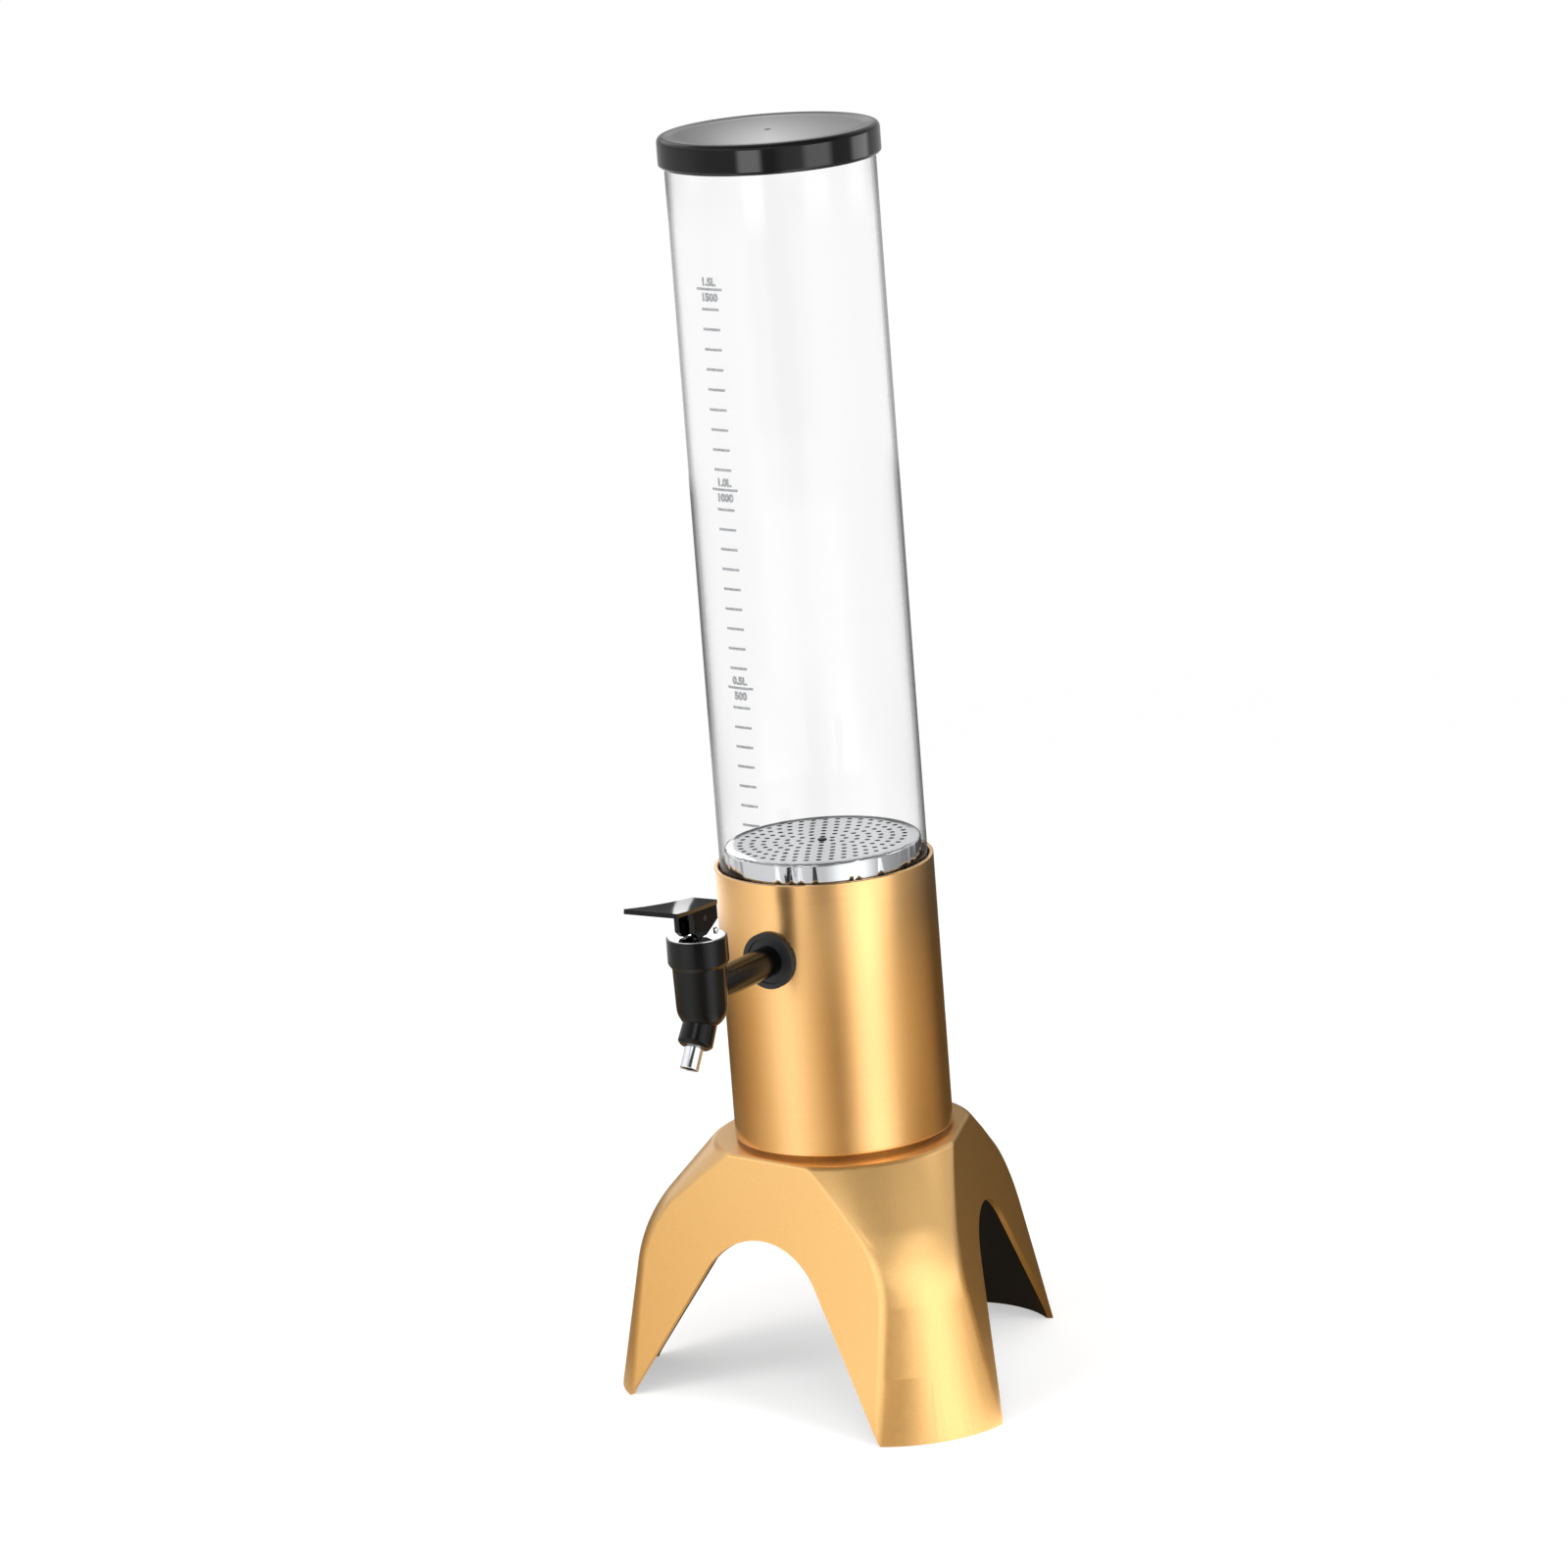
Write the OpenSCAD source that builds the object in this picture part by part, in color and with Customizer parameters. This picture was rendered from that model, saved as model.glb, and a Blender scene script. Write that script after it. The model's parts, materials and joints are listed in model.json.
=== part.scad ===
// Beer tower dispenser: a clear graduated tube in a metal sleeve on a three-legged
// base, with a sprung lever tap. Millimetres, +Z up, and the tap points along -Y. The
// origin is at table level, in the middle of the box that the whole object fills.

/* [Tripod base] */
// Height of the base's deck above the table
base_h = 111; // [104:1:125]
// Distance of each foot's outer edge from the tower's axis
foot_reach = 106.8; // [100:0.5:118]
// Radius of the round outer face of each leg
leg_face_r = 52; // [48:0.5:56]
// Lean of the legs' outer faces from the vertical, in degrees
leg_lean = 11.5; // [8:0.5:13]
// Height from the deck down to where the legs begin to bend inwards
shoulder_drop = 55; // [50:1:62]
// Radius of that bend
shoulder_r = 65; // [55:1:72]
// Slope of the shoulder where it reaches the deck, in degrees from the vertical
shoulder_slope = 43; // [38:0.5:45]
// Distance of the flat faces between the legs from the axis, at the table
face_reach = 74; // [72:0.5:78]
// Lean of the flat faces from the vertical, in degrees
face_lean = 11.3; // [9:0.1:12.5]
// Radius of the rounded ridges between the flat and the round faces
ridge_r = 8; // [6:0.5:10]
// Width of each arch at the table
arch_w = 143; // [132:1:144]
// Height of each arch
arch_h = 76.5; // [68:0.5:80]
// Radius of the round top of each arch
arch_top_r = 37.5; // [32:0.5:40]
// Wall thickness of the moulded shell
base_wall = 2.4; // [2:0.1:3.2]
// Thickness of the deck
deck_t = 6; // [4:0.5:8]
// Turn of the base about the tower, so that the tap stands a little off the arch's middle
base_turn = -8.15; // [-30:0.05:30]

/* [Sleeve] */
// Room between the tube and the metal sleeve
sleeve_room = 0.7; // [0.5:0.05:1.2]
// Height of the sleeve
sleeve_h = 120.2; // [112:0.5:128]
// Wall thickness of the sleeve
sleeve_wall = 1.8; // [1.2:0.1:1.9]
// Height of the shadow gap between the base and the sleeve
shadow_gap = 1.9; // [1:0.1:3]

/* [Tube] */
// Outer diameter of the clear tube
tube_d = 90; // [88:0.5:90.5]
// Length of the clear tube
tube_len = 371.4; // [300:1:400]
// Wall thickness of the clear tube
tube_wall = 2; // [1.6:0.1:2.4]
// Height of the hidden column that carries the tube's plug
column_h = 59; // [52:1:62]

/* [Strainer] */
// Height of the strainer's top above the plug
strainer_rise = 53.3; // [46:0.5:58]
// Depth of the strainer's skirt
strainer_skirt = 22; // [16:0.5:24]
// Number of rings of drain holes
strainer_rings = 7; // [4:1:7]
// Spacing of the rings of drain holes
strainer_pitch = 5.1; // [4.2:0.1:5.4]
// Diameter of one drain hole
strainer_hole_d = 2.6; // [1.2:0.1:2.8]
// Thickness of the strainer's sheet
strainer_t = 1; // [0.8:0.1:1.4]

/* [Lid] */
// Thickness of the lid's skirt
lid_wall = 2.1; // [1.6:0.1:3]
// Height of the lid
lid_h = 13; // [11:0.5:16]
// Thickness of the lid's top
lid_top_t = 2.6; // [2:0.1:3.2]
// Radius of the lid's outer edges
lid_edge_r = 2.8; // [1.5:0.1:3]
// Diameter of the vent hole in the lid
lid_vent_d = 2.4; // [1.6:0.1:4]

/* [Tap] */
// Height of the tap's shank above the foot of the sleeve
tap_rise = 87; // [84:0.5:90]
// Distance of the tap's barrel from the tower's axis
tap_reach = 101; // [94:0.5:108]
// Diameter of the tap's top collar
collar_d = 26; // [24:0.5:28]
// Height of the tap's top collar
collar_h = 13.1; // [11:0.1:15]
// Diameter of the tap's barrel under the collar
barrel_d = 22.8; // [21:0.1:23.6]
// Height of the barrel from the collar to its rounded shoulder
barrel_h = 16.9; // [15:0.1:18]
// Diameter of the spout's neck
neck_d = 14.2; // [13:0.1:15]
// Lean of the spout from the vertical, in degrees
spout_lean = 32; // [20:1:38]
// Length of the spout's neck, from the barrel's axis
neck_len = 15.6; // [14.5:0.1:17]
// Outer diameter of the metal nozzle
nozzle_d = 8; // [7:0.1:9]
// Length of the nozzle that shows
nozzle_len = 9.8; // [7:0.1:14]
// Diameter of the shank
shank_d = 13.3; // [12:0.1:14]
// Diameter of the shank's outer flange gasket
flange_d = 24.6; // [22:0.1:27]
// Height of the flange gasket off the sleeve
flange_t = 2.2; // [1.8:0.1:3.5]

/* [Lever] */
// Length of the lever's paddle
paddle_len = 41.7; // [34:0.1:46]
// Width of the paddle at its free end
paddle_w = 27; // [20:0.5:29]
// Width of the paddle at its head
paddle_root_w = 12.4; // [12:0.1:16]
// Thickness of the paddle
paddle_t = 2; // [1.8:0.1:3]
// Rise of the paddle towards its free end, in degrees
paddle_rise = 6.8; // [0:0.1:8]
// Width of the lever's head
head_w = 10; // [9.6:0.1:12]
// Distance of the head's front face from the pivot pin
head_front = 8.6; // [7:0.1:9.4]
// Distance of the head's back face from the pivot pin
head_back = 9.4; // [8:0.1:10.5]
// Height of the pivot pin above the tap's collar
pivot_rise = 8.4; // [7.8:0.1:9.8]
// Diameter of the pivot pin
pin_d = 2.5; // [2:0.1:3]

/* [Hidden] */

// Clearances
fit_gap = 0.05;      // a seat that is pushed together
slip_gap = 0.4;      // a loose cover or insert
cut = 1;             // overrun of every cut

// Finish of the curves, and the steps that round edges are drawn in
round_fn = 96;
small_fn = 48;
edge_parts = 4;
corner_parts = 6;

// Legs and faces repeat about the axis
leg_count = 3;
leg_step = 360 / leg_count;
half_step = leg_step / 2;

// Heights of the main levels
deck_z = base_h;
shoulder_z = deck_z - shoulder_drop;
sleeve_z = deck_z + shadow_gap;
plug_z = deck_z + column_h;

// Radii of the main tubes
tube_r = tube_d / 2;
tube_bore_r = tube_r - tube_wall;
sleeve_bore_r = tube_r + sleeve_room;
sleeve_r = sleeve_bore_r + sleeve_wall;

// Neck and spigot on the deck, which the sleeve stands on and round
neck_ring_r = sleeve_r - sleeve_wall / 2;
spigot_r = sleeve_bore_r - fit_gap;
spigot_t = 3;
spigot_h = 12;
deck_edge_r = 1.6;

// Boss and ribs under the deck
boss_r = 13;
boss_h = 20;
rib_t = 2.2;
rib_depth = 13;
ring_rib_r = 34;

// Plug that closes the foot of the tube
plug_flange_t = 6;
plug_spigot_h = 12;
plug_flange_r = tube_r;
plug_spigot_r = tube_bore_r - fit_gap;
plug_top = plug_z + plug_flange_t + plug_spigot_h;
plug_dish = 1.5;
oring_r = 1.6;
oring_squeeze = 0.2;
oring_share = 0.5;
oring_in_r = tube_bore_r - 2 * oring_r + oring_squeeze;
tube_z = plug_z + plug_flange_t;
tube_top = tube_z + tube_len;

// Column, bolt and washer
column_r = 20;
column_wall = 3.2;
bolt_r = 4;
bolt_bite = 12;
bolt_head_w = 13;
bolt_head_h = 5.3;
washer_r = 10;
washer_t = 1.8;
bolt_z = deck_z - deck_t - boss_h;

// Strainer
strainer_r = tube_bore_r - slip_gap;
strainer_z = plug_top + strainer_rise;
strainer_edge_r = 1.4;
strainer_leg_span = 22;
strainer_centre_d = 3;
strainer_first_ring = 6;
drain_fn = 8;

// Lid and its seal
lid_bore_r = tube_r + slip_gap;
lid_r = lid_bore_r + lid_wall;
lid_seal_t = 1.6;
lid_seal_w = 5;
lid_dish = 0.5;
lid_rim_w = 7;
lid_lip_w = 0.3;
lid_z = tube_top + lid_seal_t + lid_top_t - lid_h;
lid_top = lid_z + lid_h;

// Tap levels
tap_z = sleeve_z + tap_rise;
shank_r = shank_d / 2;
collar_r = collar_d / 2;
barrel_r = barrel_d / 2;
barrel_draft = 0.4;
collar_drop = 11.5;
collar_z = tap_z + collar_drop;
collar_top = collar_z + collar_h;
collar_chamfer = 2.4;
barrel_z = collar_z - barrel_h;
shoulder_h = 8.6;
shoulder_foot_r = 6.2;
shoulder_bend = 1.5;
neck_r = neck_d / 2;
neck_flare = 0.5;
neck_end_chamfer = 1.4;
chamber_r = 7.4;
seat_drop = 7;
seat_z = tap_z - seat_drop;
port_r = 3;
spout_drop = 2.9;
spout_z = barrel_z - spout_drop;
nozzle_r = nozzle_d / 2;
nozzle_wall = 0.9;
nozzle_grip = 7;
nozzle_step = 0.3;
nozzle_gap = 0.6;
nozzle_tail_r = nozzle_r - nozzle_step;
shank_bore_r = 4.2;
shank_end = 12;
shank_socket = 3;

// Gaskets and nut on the shank
flange_r = flange_d / 2;
flange_lip = 2.2;
flange_step = 0.7;
inner_gasket_r = 10.5;
inner_gasket_t = 2.6;
nut_w = 21;
nut_t = 7;

// Bonnet, stem, seal and spring
bonnet_ledge = 0.7;
bonnet_r = collar_r - bonnet_ledge;
bonnet_t = 2.2;
bonnet_proud = 0.5;
bonnet_skirt_h = 5;
bonnet_peg_r = 1.2;
bonnet_peg_h = 1.5;
bonnet_peg_turn = -20;
seat_gap = 0.1;
stem_r = 2.3;
stem_run = 0.06;
stem_eye_w = 4.6;
stem_eye_d = 6.4;
eye_gap = 0.3;
plunger_r = 5.4;
plunger_t = 2;
seal_r = 5.6;
seal_h = 5;
seal_tip_r = 4.4;
spring_r = 4.5;
spring_wall = 1;
spring_slack = 0.3;

// Lever
pivot_z = collar_top + pivot_rise;
pin_run = 0.05;
paddle_back = 8.1;
paddle_lift = 4;
paddle_z = pivot_z + paddle_lift;
paddle_corner_r = 1.2;
head_foot_gap = 0.5;
gusset_r = 5;
head_slope_w = 9;
head_slope_h = 5;
head_toe_w = 3;
head_toe_h = 2.6;

// Outer reach of a leg at height z: a leaning line, a round bend and a slope
function bend_z() = shoulder_z + shoulder_r * (sin(shoulder_slope) - sin(leg_lean));
function bend_reach(z) =
    let (c = foot_reach - shoulder_z * tan(leg_lean) - shoulder_r * cos(leg_lean),
         h = z - shoulder_z + shoulder_r * sin(leg_lean))
    c + sqrt(shoulder_r * shoulder_r - h * h);
function leg_reach(z) =
    z <= shoulder_z ? foot_reach - z * tan(leg_lean)
    : z <= bend_z() ? bend_reach(z)
    : bend_reach(bend_z()) - (z - bend_z()) * tan(shoulder_slope);

// Distance of a flat face from the axis at height z
function face_dist(z) = face_reach - z * tan(face_lean);

// Half of a leg's outline at height z, drawn in by inset: the angle at which its round
// face ends, seen from the centre of that face
function ridge_angle(z, inset) =
    let (r = leg_face_r - inset, f = ridge_r - inset, o = leg_reach(z) - leg_face_r)
    half_step - acos((face_dist(z) - inset - f - o * cos(half_step)) / (r - f));

// Outline of the base at height z as points, drawn in by inset
leg_parts = 14;
ridge_parts = 4;
function leg_outline(z, inset) =
    let (r = leg_face_r - inset, f = ridge_r - inset, o = leg_reach(z) - leg_face_r,
         g = ridge_angle(z, inset), cr = o + (r - f) * cos(g), ct = (r - f) * sin(g))
    concat(
        [for (i = [0 : ridge_parts - 1])
            let (a = -half_step + (half_step - g) * i / ridge_parts)
            [cr + f * cos(a), -ct + f * sin(a)]],
        [for (i = [0 : leg_parts])
            let (a = -g + 2 * g * i / leg_parts)
            [o + r * cos(a), r * sin(a)]],
        [for (i = [1 : ridge_parts])
            let (a = g + (half_step - g) * i / ridge_parts)
            [cr + f * cos(a), ct + f * sin(a)]]);
function spun(p, a, z) =
    [p[0] * sin(a) + p[1] * cos(a), -p[0] * cos(a) + p[1] * sin(a), z];
function base_outline(z, inset) =
    [for (k = [0 : leg_count - 1])
        for (p = leg_outline(z, inset)) spun(p, half_step + leg_step * k, z)];

// Heights of the outlines that the shell is lofted through
bend_parts = 12;
shell_levels = concat(
    [0, shoulder_z / 2],
    [for (i = [0 : bend_parts])
        shoulder_z + (bend_z() - shoulder_z) * i / bend_parts],
    [(bend_z() + deck_z - deck_edge_r) / 2]);
function edge_z(i) = deck_z - deck_edge_r * (1 - sin(90 * i / edge_parts));
function edge_inset(i) = deck_edge_r * (1 - cos(90 * i / edge_parts));

// Place of the tower's axis, which puts the origin in the middle of the object's box: the
// feet bound it on three sides and the paddle's tip on the fourth
foot_points = [
    for (p = base_outline(0, 0))
        [p[0] * cos(base_turn) - p[1] * sin(base_turn),
         p[0] * sin(base_turn) + p[1] * cos(base_turn)]];
foot_x = [for (p = foot_points) p[0]];
foot_y = [for (p = foot_points) p[1]];
paddle_tip = tap_reach - paddle_back + paddle_len * cos(paddle_rise);
axis_x = -(max(foot_x) + min(foot_x)) / 2;
axis_y = (paddle_tip - max(foot_y)) / 2;

// Places what is drawn about the tower's axis
module on_axis() {
    translate([axis_x, axis_y, 0]) children();
}

// A solid through a stack of outlines with the same number of points
module loft(rings) {
    n = len(rings[0]);
    m = len(rings);
    sides = [
        for (k = [0 : m - 2])
            for (i = [0 : n - 1])
                let (j = (i + 1) % n, a = k * n, b = (k + 1) * n)
                each [[a + i, b + i, b + j], [a + i, b + j, a + j]]];
    bottom = [for (i = [0 : n - 1]) i];
    top = [for (i = [n - 1 : -1 : 0]) (m - 1) * n + i];
    polyhedron(points = [for (r = rings) each r], faces = concat([bottom], sides, [top]));
}

module base_skin() {
    loft(concat(
        [for (z = shell_levels) base_outline(z, 0)],
        [for (i = [0 : edge_parts])
            base_outline(edge_z(i), edge_inset(i))]));
}

module base_hollow() {
    ceiling = deck_z - deck_t;
    low = [for (z = shell_levels) if (z > 0 && z < ceiling - cut) z];
    loft(concat(
        [[for (p = base_outline(0, base_wall)) [p[0], p[1], -cut]]],
        [for (z = low) base_outline(z, base_wall)],
        [base_outline(ceiling, base_wall)]));
}

// Angle at which an arch's straight side touches its round top
function arch_touch() =
    let (h = arch_h - arch_top_r, w = arch_w / 2)
    acos(arch_top_r / sqrt(w * w + h * h)) - atan(h / w);

// Outline of an arch: straight sides up to a round top
module arch_outline() {
    centre_z = arch_h - arch_top_r;
    touch_x = arch_top_r * cos(arch_touch());
    touch_z = centre_z + arch_top_r * sin(arch_touch());
    translate([0, centre_z]) circle(r = arch_top_r, $fn = round_fn);
    polygon([
        [-arch_w / 2, -cut], [arch_w / 2, -cut], [arch_w / 2, 0],
        [touch_x, touch_z], [-touch_x, touch_z], [-arch_w / 2, 0]]);
}

module arches() {
    inner = face_reach / 3;
    for (k = [0 : leg_count - 1])
        rotate([0, 0, leg_step * k])
            translate([0, -inner, 0])
                rotate([90, 0, 0])
                    linear_extrude(height = face_reach) arch_outline();
}

// Ribs under the deck: long ones run out inside the legs, short ones to the flat faces
rib_steps = 5;
module deck_ribs() {
    root = deck_z - deck_t - rib_depth;
    top = deck_z - deck_t / 2;
    inside = base_wall / 2;
    for (k = [0 : leg_count - 1]) {
        rotate([90, 0, half_step + leg_step * k - 90])
            translate([0, 0, -rib_t / 2])
                linear_extrude(height = rib_t)
                    polygon(concat(
                        [[boss_r / 2, root], [boss_r / 2, top]],
                        [for (i = [0 : rib_steps])
                            let (z = top - (top - root) * i / rib_steps)
                            [leg_reach(z) - inside, z]]));
        rotate([90, 0, leg_step * k - 90])
            translate([0, 0, -rib_t / 2])
                linear_extrude(height = rib_t)
                    polygon([
                        [boss_r / 2, root], [boss_r / 2, top],
                        [face_dist(top) - inside, top], [face_dist(root) - inside, root]]);
    }
}

module base_top() {
    under = deck_z - deck_t;
    translate([0, 0, under - boss_h]) cylinder(r = boss_r, h = boss_h + deck_t / 2);
    translate([0, 0, under - rib_depth]) pipe(ring_rib_r, rib_t, rib_depth + deck_t / 2);
    translate([0, 0, deck_z - deck_t / 2])
        pipe(neck_ring_r, neck_ring_r - spigot_r + spigot_t, shadow_gap + deck_t / 2);
    translate([0, 0, deck_z]) pipe(spigot_r, spigot_t, spigot_h);
}

// Upright pipe by its outer radius, wall and height
module pipe(r, wall, h) {
    difference() {
        cylinder(r = r, h = h, $fn = round_fn);
        translate([0, 0, -cut]) cylinder(r = r - wall, h = h + 2 * cut, $fn = round_fn);
    }
}

// Round bar along -Y, from one distance off the axis to another
module bar(r, from, to, fn = small_fn) {
    translate([0, -from, 0])
        rotate([90, 0, 0]) cylinder(r = r, h = to - from, $fn = fn);
}

module tripod_base() {
    color("goldenrod") on_axis()
        rotate([0, 0, base_turn])
            difference() {
                union() {
                    difference() {
                        base_skin();
                        base_hollow();
                        arches();
                    }
                    deck_ribs();
                    base_top();
                }
                translate([0, 0, deck_z - deck_t - boss_h - cut])
                    cylinder(r = bolt_r + slip_gap, h = boss_h + deck_t + 2 * cut, $fn = small_fn);
            }
}

module sleeve() {
    roll = sleeve_wall / 3;
    color("goldenrod") on_axis()
        difference() {
            translate([0, 0, sleeve_z])
                rotate_extrude($fn = round_fn)
                    polygon([
                        [sleeve_bore_r, 0], [sleeve_r - roll, 0], [sleeve_r, roll],
                        [sleeve_r, sleeve_h - roll], [sleeve_r - roll, sleeve_h],
                        [sleeve_bore_r, sleeve_h]]);
            translate([0, 0, tap_z])
                bar(shank_r + slip_gap, sleeve_bore_r / 2, sleeve_r + cut);
        }
}

module tube() {
    color("white", 0.3) on_axis()
        difference() {
            translate([0, 0, tube_z]) pipe(tube_r, tube_wall, tube_len);
            translate([0, 0, tap_z])
                bar(shank_r + slip_gap, tube_bore_r / 2, tube_r + cut);
        }
}

module tube_plug() {
    groove_z = plug_z + plug_flange_t + plug_spigot_h * oring_share;
    color("dimgray") on_axis()
        difference() {
            union() {
                translate([0, 0, plug_z])
                    cylinder(r = plug_flange_r, h = plug_flange_t, $fn = round_fn);
                translate([0, 0, plug_z])
                    cylinder(r = plug_spigot_r, h = plug_top - plug_z, $fn = round_fn);
            }
            translate([0, 0, groove_z])
                rotate_extrude($fn = round_fn)
                    translate([oring_in_r - fit_gap, -oring_r - fit_gap])
                        square([2 * oring_r + cut, 2 * (oring_r + fit_gap)]);
            translate([0, 0, plug_top - plug_dish])
                cylinder(r1 = plug_spigot_r / 2, r2 = plug_spigot_r - plug_dish,
                         h = plug_dish + fit_gap, $fn = round_fn);
            translate([0, 0, plug_z - cut])
                cylinder(r = bolt_r + fit_gap, h = bolt_bite + 2 * cut, $fn = small_fn);
        }
}

module plug_oring() {
    groove_z = plug_z + plug_flange_t + plug_spigot_h * oring_share;
    color("black") on_axis()
        translate([0, 0, groove_z])
            intersection() {
                rotate_extrude($fn = round_fn)
                    translate([oring_in_r + oring_r, 0]) circle(r = oring_r, $fn = small_fn);
                translate([0, 0, -oring_r - cut])
                    cylinder(r = tube_bore_r, h = 2 * (oring_r + cut), $fn = round_fn);
            }
}

module column() {
    color("dimgray") on_axis()
        translate([0, 0, deck_z]) pipe(column_r, column_wall, column_h);
}

module centre_bolt() {
    color("silver") on_axis() {
        translate([0, 0, bolt_z - washer_t - bolt_head_h])
            cylinder(d = bolt_head_w / cos(30), h = bolt_head_h, $fn = 6);
        translate([0, 0, bolt_z - washer_t - cut])
            cylinder(r = bolt_r, h = plug_z + bolt_bite - bolt_z + washer_t + cut, $fn = small_fn);
    }
}

module bolt_washer() {
    color("silver") on_axis()
        translate([0, 0, bolt_z - washer_t])
            pipe(washer_r, washer_r - bolt_r - fit_gap, washer_t);
}

// Pressed cap with rings of drain holes, a skirt, and three legs down to the plug,
// which are left when windows are cut out of the long skirt
module strainer() {
    foot = plug_top - strainer_z;
    window_h = strainer_rise - strainer_skirt;
    e = strainer_edge_r;
    color("silver") on_axis()
        translate([0, 0, strainer_z])
            difference() {
                rotate_extrude($fn = round_fn)
                    polygon(concat(
                        [[0, 0]],
                        [for (i = [0 : edge_parts])
                            let (a = 90 * i / edge_parts)
                            [strainer_r - e + e * sin(a), e * cos(a) - e]],
                        [[strainer_r, foot], [strainer_r - strainer_t, foot],
                         [strainer_r - strainer_t, -strainer_t], [0, -strainer_t]]));
                for (k = [1 : strainer_rings])
                    for (i = [0 : strainer_first_ring * k - 1])
                        rotate([0, 0, 360 * i / (strainer_first_ring * k)])
                            translate([strainer_pitch * k, 0, -strainer_t - cut])
                                cylinder(d = strainer_hole_d, h = strainer_t + 2 * cut,
                                         $fn = drain_fn);
                translate([0, 0, -strainer_t - cut])
                    cylinder(d = strainer_centre_d, h = strainer_t + 2 * cut, $fn = drain_fn);
                for (k = [0 : leg_count - 1])
                    rotate([0, 0, half_step + leg_step * k - 90 + strainer_leg_span / 2])
                        translate([0, 0, foot - cut])
                            rotate_extrude(angle = leg_step - strainer_leg_span, $fn = round_fn)
                                translate([strainer_r - strainer_t - cut, 0])
                                    square([strainer_t + 2 * cut, window_h + cut]);
            }
}

module lid() {
    e = lid_edge_r;
    f = lid_wall - lid_lip_w;
    color([0.06, 0.06, 0.07]) on_axis()
        difference() {
            translate([0, 0, lid_z])
                rotate_extrude($fn = round_fn)
                    polygon(concat(
                        [[0, lid_h - lid_dish], [lid_r - lid_rim_w, lid_h - lid_dish]],
                        [for (i = [0 : corner_parts])
                            let (a = 90 * i / corner_parts)
                            [lid_r - e + e * sin(a), lid_h - e + e * cos(a)]],
                        [for (i = [0 : corner_parts])
                            let (a = 90 * i / corner_parts)
                            [lid_r - f + f * cos(a), e - e * sin(a)]],
                        [[lid_bore_r, 0],
                         [lid_bore_r, lid_h - lid_top_t], [0, lid_h - lid_top_t]]));
            translate([0, 0, lid_top - lid_top_t - cut])
                cylinder(d = lid_vent_d, h = lid_top_t + 2 * cut, $fn = small_fn);
        }
}

module lid_seal() {
    color([0.85, 0.85, 0.82]) on_axis()
        translate([0, 0, tube_top])
            pipe(lid_bore_r - fit_gap, lid_seal_w, lid_seal_t);
}

// Places what is drawn about the tap's barrel
module at_barrel() {
    translate([0, -tap_reach, 0]) children();
}

// Places what is drawn along the spout's axis, downwards from the barrel
module at_spout() {
    at_barrel() translate([0, 0, spout_z]) rotate([180 - spout_lean, 0, 0]) children();
}

module tap_body() {
    foot_r = barrel_r - barrel_draft;
    color([0.08, 0.08, 0.09]) on_axis()
        difference() {
            union() {
                at_barrel() {
                    translate([0, 0, collar_z + collar_chamfer])
                        cylinder(r = collar_r, h = collar_h - collar_chamfer, $fn = round_fn);
                    translate([0, 0, collar_z])
                        cylinder(r1 = barrel_r, r2 = collar_r, h = collar_chamfer, $fn = round_fn);
                    translate([0, 0, barrel_z])
                        cylinder(r1 = foot_r, r2 = barrel_r, h = barrel_h, $fn = round_fn);
                    translate([0, 0, barrel_z])
                        rotate_extrude($fn = round_fn)
                            polygon(concat(
                                [[0, 0]],
                                [for (i = [0 : corner_parts])
                                    let (a = 90 * i / corner_parts)
                                    [shoulder_foot_r + (foot_r - shoulder_foot_r) * pow(cos(a), shoulder_bend),
                                     -shoulder_h * sin(a)]],
                                [[0, -shoulder_h]]));
                }
                at_spout() {
                    cylinder(r1 = neck_r, r2 = neck_r + neck_flare,
                             h = neck_len - neck_end_chamfer, $fn = small_fn);
                    translate([0, 0, neck_len - neck_end_chamfer])
                        cylinder(r1 = neck_r + neck_flare, r2 = neck_r - 2 * neck_flare,
                                 h = neck_end_chamfer, $fn = small_fn);
                }
            }
            at_barrel() {
                translate([0, 0, seat_z])
                    cylinder(r = chamber_r, h = collar_top - seat_z + cut, $fn = small_fn);
                translate([0, 0, collar_top - bonnet_t + bonnet_proud])
                    cylinder(r = bonnet_r + fit_gap, h = bonnet_t + cut, $fn = round_fn);
                translate([0, 0, spout_z])
                    cylinder(r = port_r, h = seat_z - spout_z + cut, $fn = small_fn);
            }
            at_spout() {
                cylinder(r = port_r, h = neck_len + cut, $fn = small_fn);
                translate([0, 0, neck_len - nozzle_grip])
                    cylinder(r = nozzle_tail_r + fit_gap, h = nozzle_grip + cut, $fn = small_fn);
            }
            translate([0, 0, tap_z]) {
                bar(shank_bore_r, tap_reach - barrel_r, tap_reach - chamber_r / 2);
                bar(shank_r + fit_gap, tap_reach - barrel_r - cut, tap_reach - barrel_r + shank_socket);
            }
        }
}

module tap_shank() {
    from = tube_bore_r - shank_end;
    to = tap_reach - barrel_r + shank_socket;
    color([0.1, 0.09, 0.08]) on_axis()
        translate([0, 0, tap_z])
            difference() {
                bar(shank_r, from, to);
                bar(shank_bore_r, from - cut, to + cut);
            }
}

module outer_gasket() {
    color([0.05, 0.05, 0.06]) on_axis()
        difference() {
            translate([0, 0, tap_z])
                difference() {
                    bar(flange_r, sleeve_r / 2, sleeve_r + flange_t, round_fn);
                    bar(flange_r - flange_lip, sleeve_r + flange_t - flange_step,
                        sleeve_r + flange_t + cut, round_fn);
                    bar(shank_r + fit_gap, sleeve_r / 2 - cut, sleeve_r + flange_t + cut);
                }
            translate([0, 0, sleeve_z])
                cylinder(r = sleeve_r + fit_gap, h = sleeve_h, $fn = round_fn);
        }
}

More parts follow.
